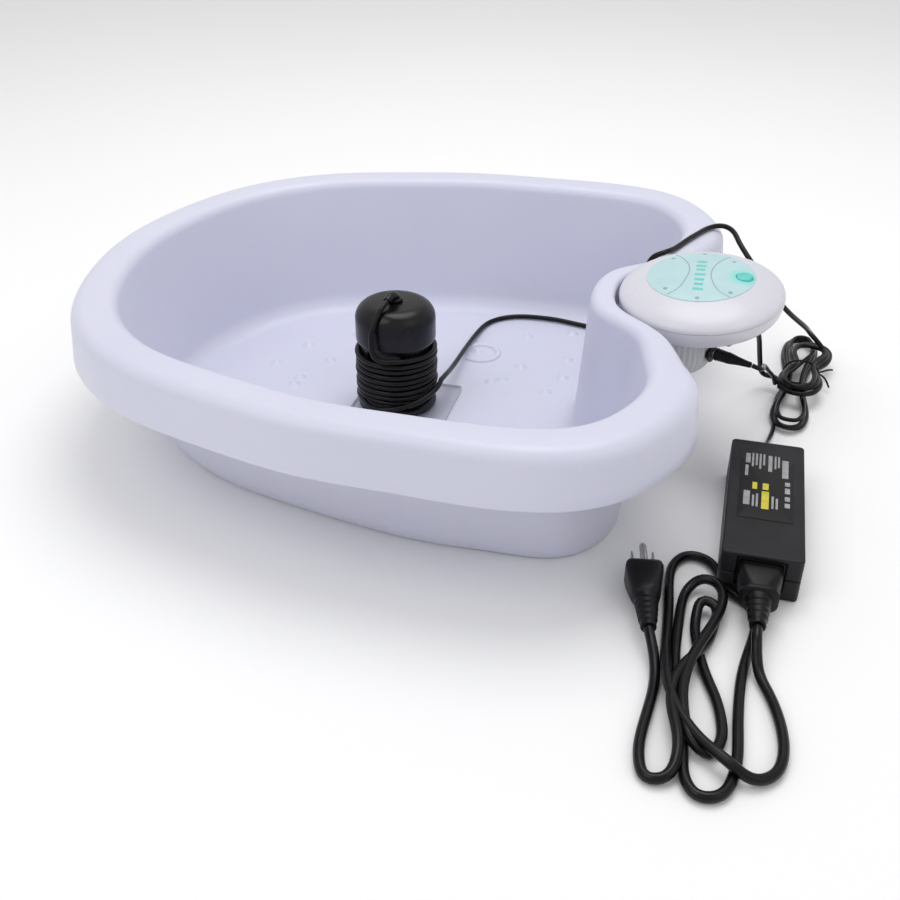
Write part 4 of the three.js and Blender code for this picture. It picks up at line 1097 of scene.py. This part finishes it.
def add_array():
    turn = np.linspace(0, math.pi / 2, 12)
    shoulder = [(CAP_RADIUS - 12.4 * (1 - math.cos(a)), CAP_HIGH - 12.8 + 12.4 * math.sin(a)) for a in turn]
    cap = [(0.02, CAP_LOW), (CAP_RADIUS - 1.2, CAP_LOW), (CAP_RADIUS - 0.2, CAP_LOW + 1.2),
           (CAP_RADIUS, CAP_LOW + 3)]
    cap += shoulder + [(14, CAP_HIGH - 0.3), (9, CAP_HIGH), (0.02, CAP_HIGH)]
    add_piece("array_head", [capped(on_array(lathe(cap, 128)))], array_black, "array",
              ("array_cap",), sharp=45)
    base = [(0.02, 2.7), (CAP_RADIUS - 1.4, 2.7), (CAP_RADIUS - 0.3, 3.8), (CAP_RADIUS, 5.4),
            (CAP_RADIUS - 0.6, 7.2),
            (27.2, 9), (0.02, 9)]
    add_piece("array_foot", [capped(on_array(turned(base, 0.5, 128)))], array_black, "array",
              ("array_base",), sharp=45)
    collar = turned([(0.02, 87.3), (5.6, 87.3), (6, 87.8), (6, 89), (5.2, 89.8), (0.02, 89.8)], 0.3, 64)
    boot_route = smooth_route(GLAND_BOOT, 0.7)
    boot = tube_rings(boot_route, np.linspace(3.9, 2.7, len(boot_route)), 32)
    add_piece("array_cord_relief", [capped(on_array(collar)), capped(on_array(boot))], array_black, "array",
              ("array_cord_gland",), sharp=45)


# ---- power adapter and mains lead ---------------------------------------------------------------
ADAPTER = (255.3, -108.0)
ADAPTER_LENGTH = 132.0


def add_adapter():
    softened_copy("adapter_lower_shell", "adapter_base", charcoal, 1.1)
    softened_copy("adapter_upper_shell", "adapter_lid", charcoal, 1.1)
    softened_copy("adapter_inlet", "adapter_mains_inlet", black_plastic, 0.3)
    relief = [(0.02, -6), (4.6, -6), (4.6, -2.5), (3.4, -2.5), (3.4, 0.6)]
    relief += ([(3.3 - 0.14 * k - (0.35 if k % 2 else 0), 1.4 + 1.15 * k) for k in range(8)]
               + [(2.2, 11), (0.02, 11)])
    rings = lathe(rounded(relief, 0.2), 48)
    lying = np.stack([rings[..., 0], rings[..., 2] + ADAPTER_LENGTH / 2, -rings[..., 1] + 15], axis=-1)
    add_piece("adapter_cord_relief", [capped(moved(lying, (*ADAPTER, 0)))], black_plastic, "root",
              ("adapter_cord_gland",))


LABEL_LOW = 30.32
# Blocks of the rating label, across and along it: [left, near, width, length].
GREY_BLOCKS = [
    (-14, 28, 3, 12), (-14, 12, 2, 13), (-10, 24, 1.3, 17), (-7.6, 26, 1.3, 15), (-5.2, 22, 1.3, 19),
    (-2.8, 27, 1.3, 14), (0.6, 20, 2.6, 20), (4.6, 24, 1.2, 16), (6.8, 26, 1.2, 14),
    (-14, -22, 4, 16), (-8.6, -23, 1.3, 13), (-6.2, -23, 1.3, 15), (3.4, -23, 1.4, 14), (6, -23, 1.4, 12),
    (11.5, -20, 3.2, 5), (11.5, -12.5, 3.2, 5), (11.5, -4, 3.2, 6.5), (11.5, 5, 3.2, 4.5), (9.6, 14, 4, 22),
]
YELLOW_BLOCKS = [(-2.8, -24.5, 4.6, 20), (-2.4, -2.5, 3.8, 7.5), (-8.8, -3, 3, 8)]


def block_skin(left, near, width, length, high):
    """A thin printed block with softened corners, laid on the label."""
    rings = slab(width, length, 0, 0.08, 0.4, 0.03)
    return capped(moved(rings, (ADAPTER[0] + left + width / 2, ADAPTER[1] + near + 8 + length / 2, high)))


def add_adapter_label():
    film = slab(34, 72, 30.02, 30.32, 1.5, 0.1)
    add_piece("rating_label", [capped(moved(film, (ADAPTER[0], ADAPTER[1] + 8, 0)))], label_black, "root",
              ("adapter_label",))
    add_piece("rating_blocks", [block_skin(*b, LABEL_LOW) for b in GREY_BLOCKS],
              label_grey, "root")
    add_piece("rating_stripe", [block_skin(*b, LABEL_LOW) for b in YELLOW_BLOCKS],
              label_yellow, "root")


def along_y(sections, x, y, z):
    """Rounded-rectangle sections [distance, width, height, corner] carried along -Y from a point."""
    rings = []
    for distance, width, height, corner in sections:
        outline = rounded_rectangle(width, height, min(corner, width / 2 - 0.01, height / 2 - 0.01))
        rings.append(np.column_stack([
            x + outline[:, 0], np.full(len(outline), y - distance), z + outline[:, 1]]))
    return rings


def ribbed(start, end, count, first, last, depth):
    """Sections that narrow and widen in turn: the grip rings of a strain relief."""
    sections = []
    for k in range(count * 4):
        part = k / (count * 4 - 1)
        groove = depth if k % 4 in (2, 3) else 0.0
        width, height = (f + (g - f) * part - groove for f, g in zip(first, last))
        sections.append((start + (end - start) * part, width, height, min(width, height) * 0.48))
    return sections


def add_mains_connector():
    sections = [
        (-15, 23.2, 15.8, 2), (0.4, 23.6, 16.2, 2), (0.5, 25.4, 18.4, 3.5),
        (1.2, 26.2, 19.2, 4), (8, 25.6, 18.9, 5),
        (13, 23.6, 18, 6), (17, 20.4, 16.8, 6.5), (20, 18.2, 15.8, 6.6), (20.6, 21.4, 17.4, 6),
        (21.2, 22.4, 18, 6), (23.4, 22.4, 18, 6), (24, 21.2, 17.2, 6), (24.5, 15.4, 14.2, 6.4),
    ]
    sections += ribbed(25.4, 44, 4, (14.8, 13.8), (10.8, 10.4), 1.5)
    sections += [(47.2, 9.6, 9.6, 4.7), (48, 8.6, 8.6, 4.2)]
    rings = along_y(sections, ADAPTER[0], ADAPTER[1] - ADAPTER_LENGTH / 2, 16.7)
    add_piece("mains_socket_end", [capped(rings)], black_plastic, "root",
              ("mains_connector",), sharp=42)


PLUG_PLACE = np.array([187.8, -181.0, 11.0])
PLUG_TURN = math.radians(9.7)


def on_plug(rings):
    c, s = math.cos(PLUG_TURN), math.sin(PLUG_TURN)
    return rotated(rings, [[c, -s, 0], [s, c, 0], [0, 0, 1]]) + PLUG_PLACE


def add_mains_plug():
    sections = [
        (0, 20.2, 17.6, 3), (0.6, 21.6, 18.8, 3.4), (3, 22.8, 19.8, 4), (9, 22, 19.2, 4.4), (16, 20, 18, 5),
        (22, 17.8, 16.4, 5.4), (26, 16, 15, 5.8),
    ]
    sections += (ribbed(27, 48, 5, (14.8, 13.6), (10.6, 10), 1.4)
                 + [(51.2, 9.4, 9.2, 4.5), (52, 8.4, 8.4, 4.1)])
    grip = on_plug(np.array(along_y(sections, 0, 0, 0)))
    return add_piece("mains_plug_grip", [capped(grip)], black_plastic, "root",
                     ("mains_plug",), sharp=42)


def add_blades():
    pieces = []
    for side, name in ((-1, "live"), (1, "neutral")):
        sections = [(-0.3, 1.55, 6.4, 0.3), (-15.6, 1.55, 6.4, 0.3), (-16.6, 1.1, 5.6, 0.3),
                    (-17, 0.7, 4.8, 0.3)]
        skin = capped(on_plug(np.array(along_y(sections, side * 6.35, 0, -1))))
        pieces.append(add_piece(f"{name}_blade", [skin], nickel, "root", (f"plug_blade_{name}",)))
    sections = [(-0.3, 4.7, 4.7, 2.3), (-16, 4.7, 4.7, 2.3), (-18, 3.9, 3.9, 1.9), (-19.2, 2.2, 2.2, 1.05),
                (-19.5, 0.8, 0.8, 0.35)]
    skin = capped(on_plug(np.array(along_y(sections, 0, 0, 5.5))))
    pieces.append(add_piece("ground_pin", [skin], nickel, "root", ("plug_ground_pin",)))
    return pieces


def add_tie():
    """A wire tie twisted round the bundle on the floor, its two ends left sticking out."""
    x, y = circle(40)
    centre = np.array([280.5, 108.0, 10.8])
    band = centre + np.column_stack([13.5 * x, -1.0 * x, 10.6 * y])
    band[:, 2] = np.maximum(band[:, 2], 0.9)
    closed_band = np.vstack([band, band[:1]])
    route = smooth_route(closed_band, 1.5)
    end_one = smooth_route([(293.6, 107, 12), (297, 106, 11), (300.5, 103, 8.5), (303, 99, 5)], 1.0)
    end_two = smooth_route([(293.6, 107, 13), (297.5, 107.5, 14.5), (301.5, 110, 15),
                            (304.5, 113, 13.8)], 1.0)
    skins = [capped(tube_rings(part, 0.75, 10)) for part in (route, end_one, end_two)]
    add_piece("bundle_tie", skins, black_plastic, "root")


# ---- carried-over nodes -------------------------------------------------------------------------
KEPT_FINISHES = {
    "control_board": board_green, "adapter_board": board_green, "board_transformer": ceramic,
    "adapter_transformer": ceramic, "electrode_spacer": ceramic, "heat_sink": steel,
    "adapter_heat_sink": steel, "centre_electrode": steel, "ring_electrode": nickel,
    "button_switch": black_plastic, "adapter_capacitor": black_plastic, "array_cage": array_black,
    "power_plug_barrel": nickel, "inlet_pin_live": brass, "inlet_pin_neutral": brass,
    "inlet_pin_earth": brass,
}
KEPT_FINISHES.update({f"indicator_led_{k}": led_clear for k in range(1, 7)})
KEPT_FINISHES.update({f"housing_screw_{k}": steel for k in range(1, 4)})


def finish_kept_nodes():
    for node, material in KEPT_FINISHES.items():
        mesh = frame["nodes"][node].data
        mesh.materials.clear()
        mesh.materials.append(material)


add_camera()
add_studio()
add_floor()
add_tub()
add_floor_relief()
add_top_shell()
add_lower_shell()
add_label()
add_label_print()
add_button()
power_plug, array_plug = add_sockets_and_plugs()
add_tray()
add_array()
add_adapter()
add_adapter_label()
add_mains_connector()
mains_plug = add_mains_plug()
add_mains_cord([mains_plug, *add_blades()])
add_output_cord()
add_array_cord()
add_tie()
finish_kept_nodes()
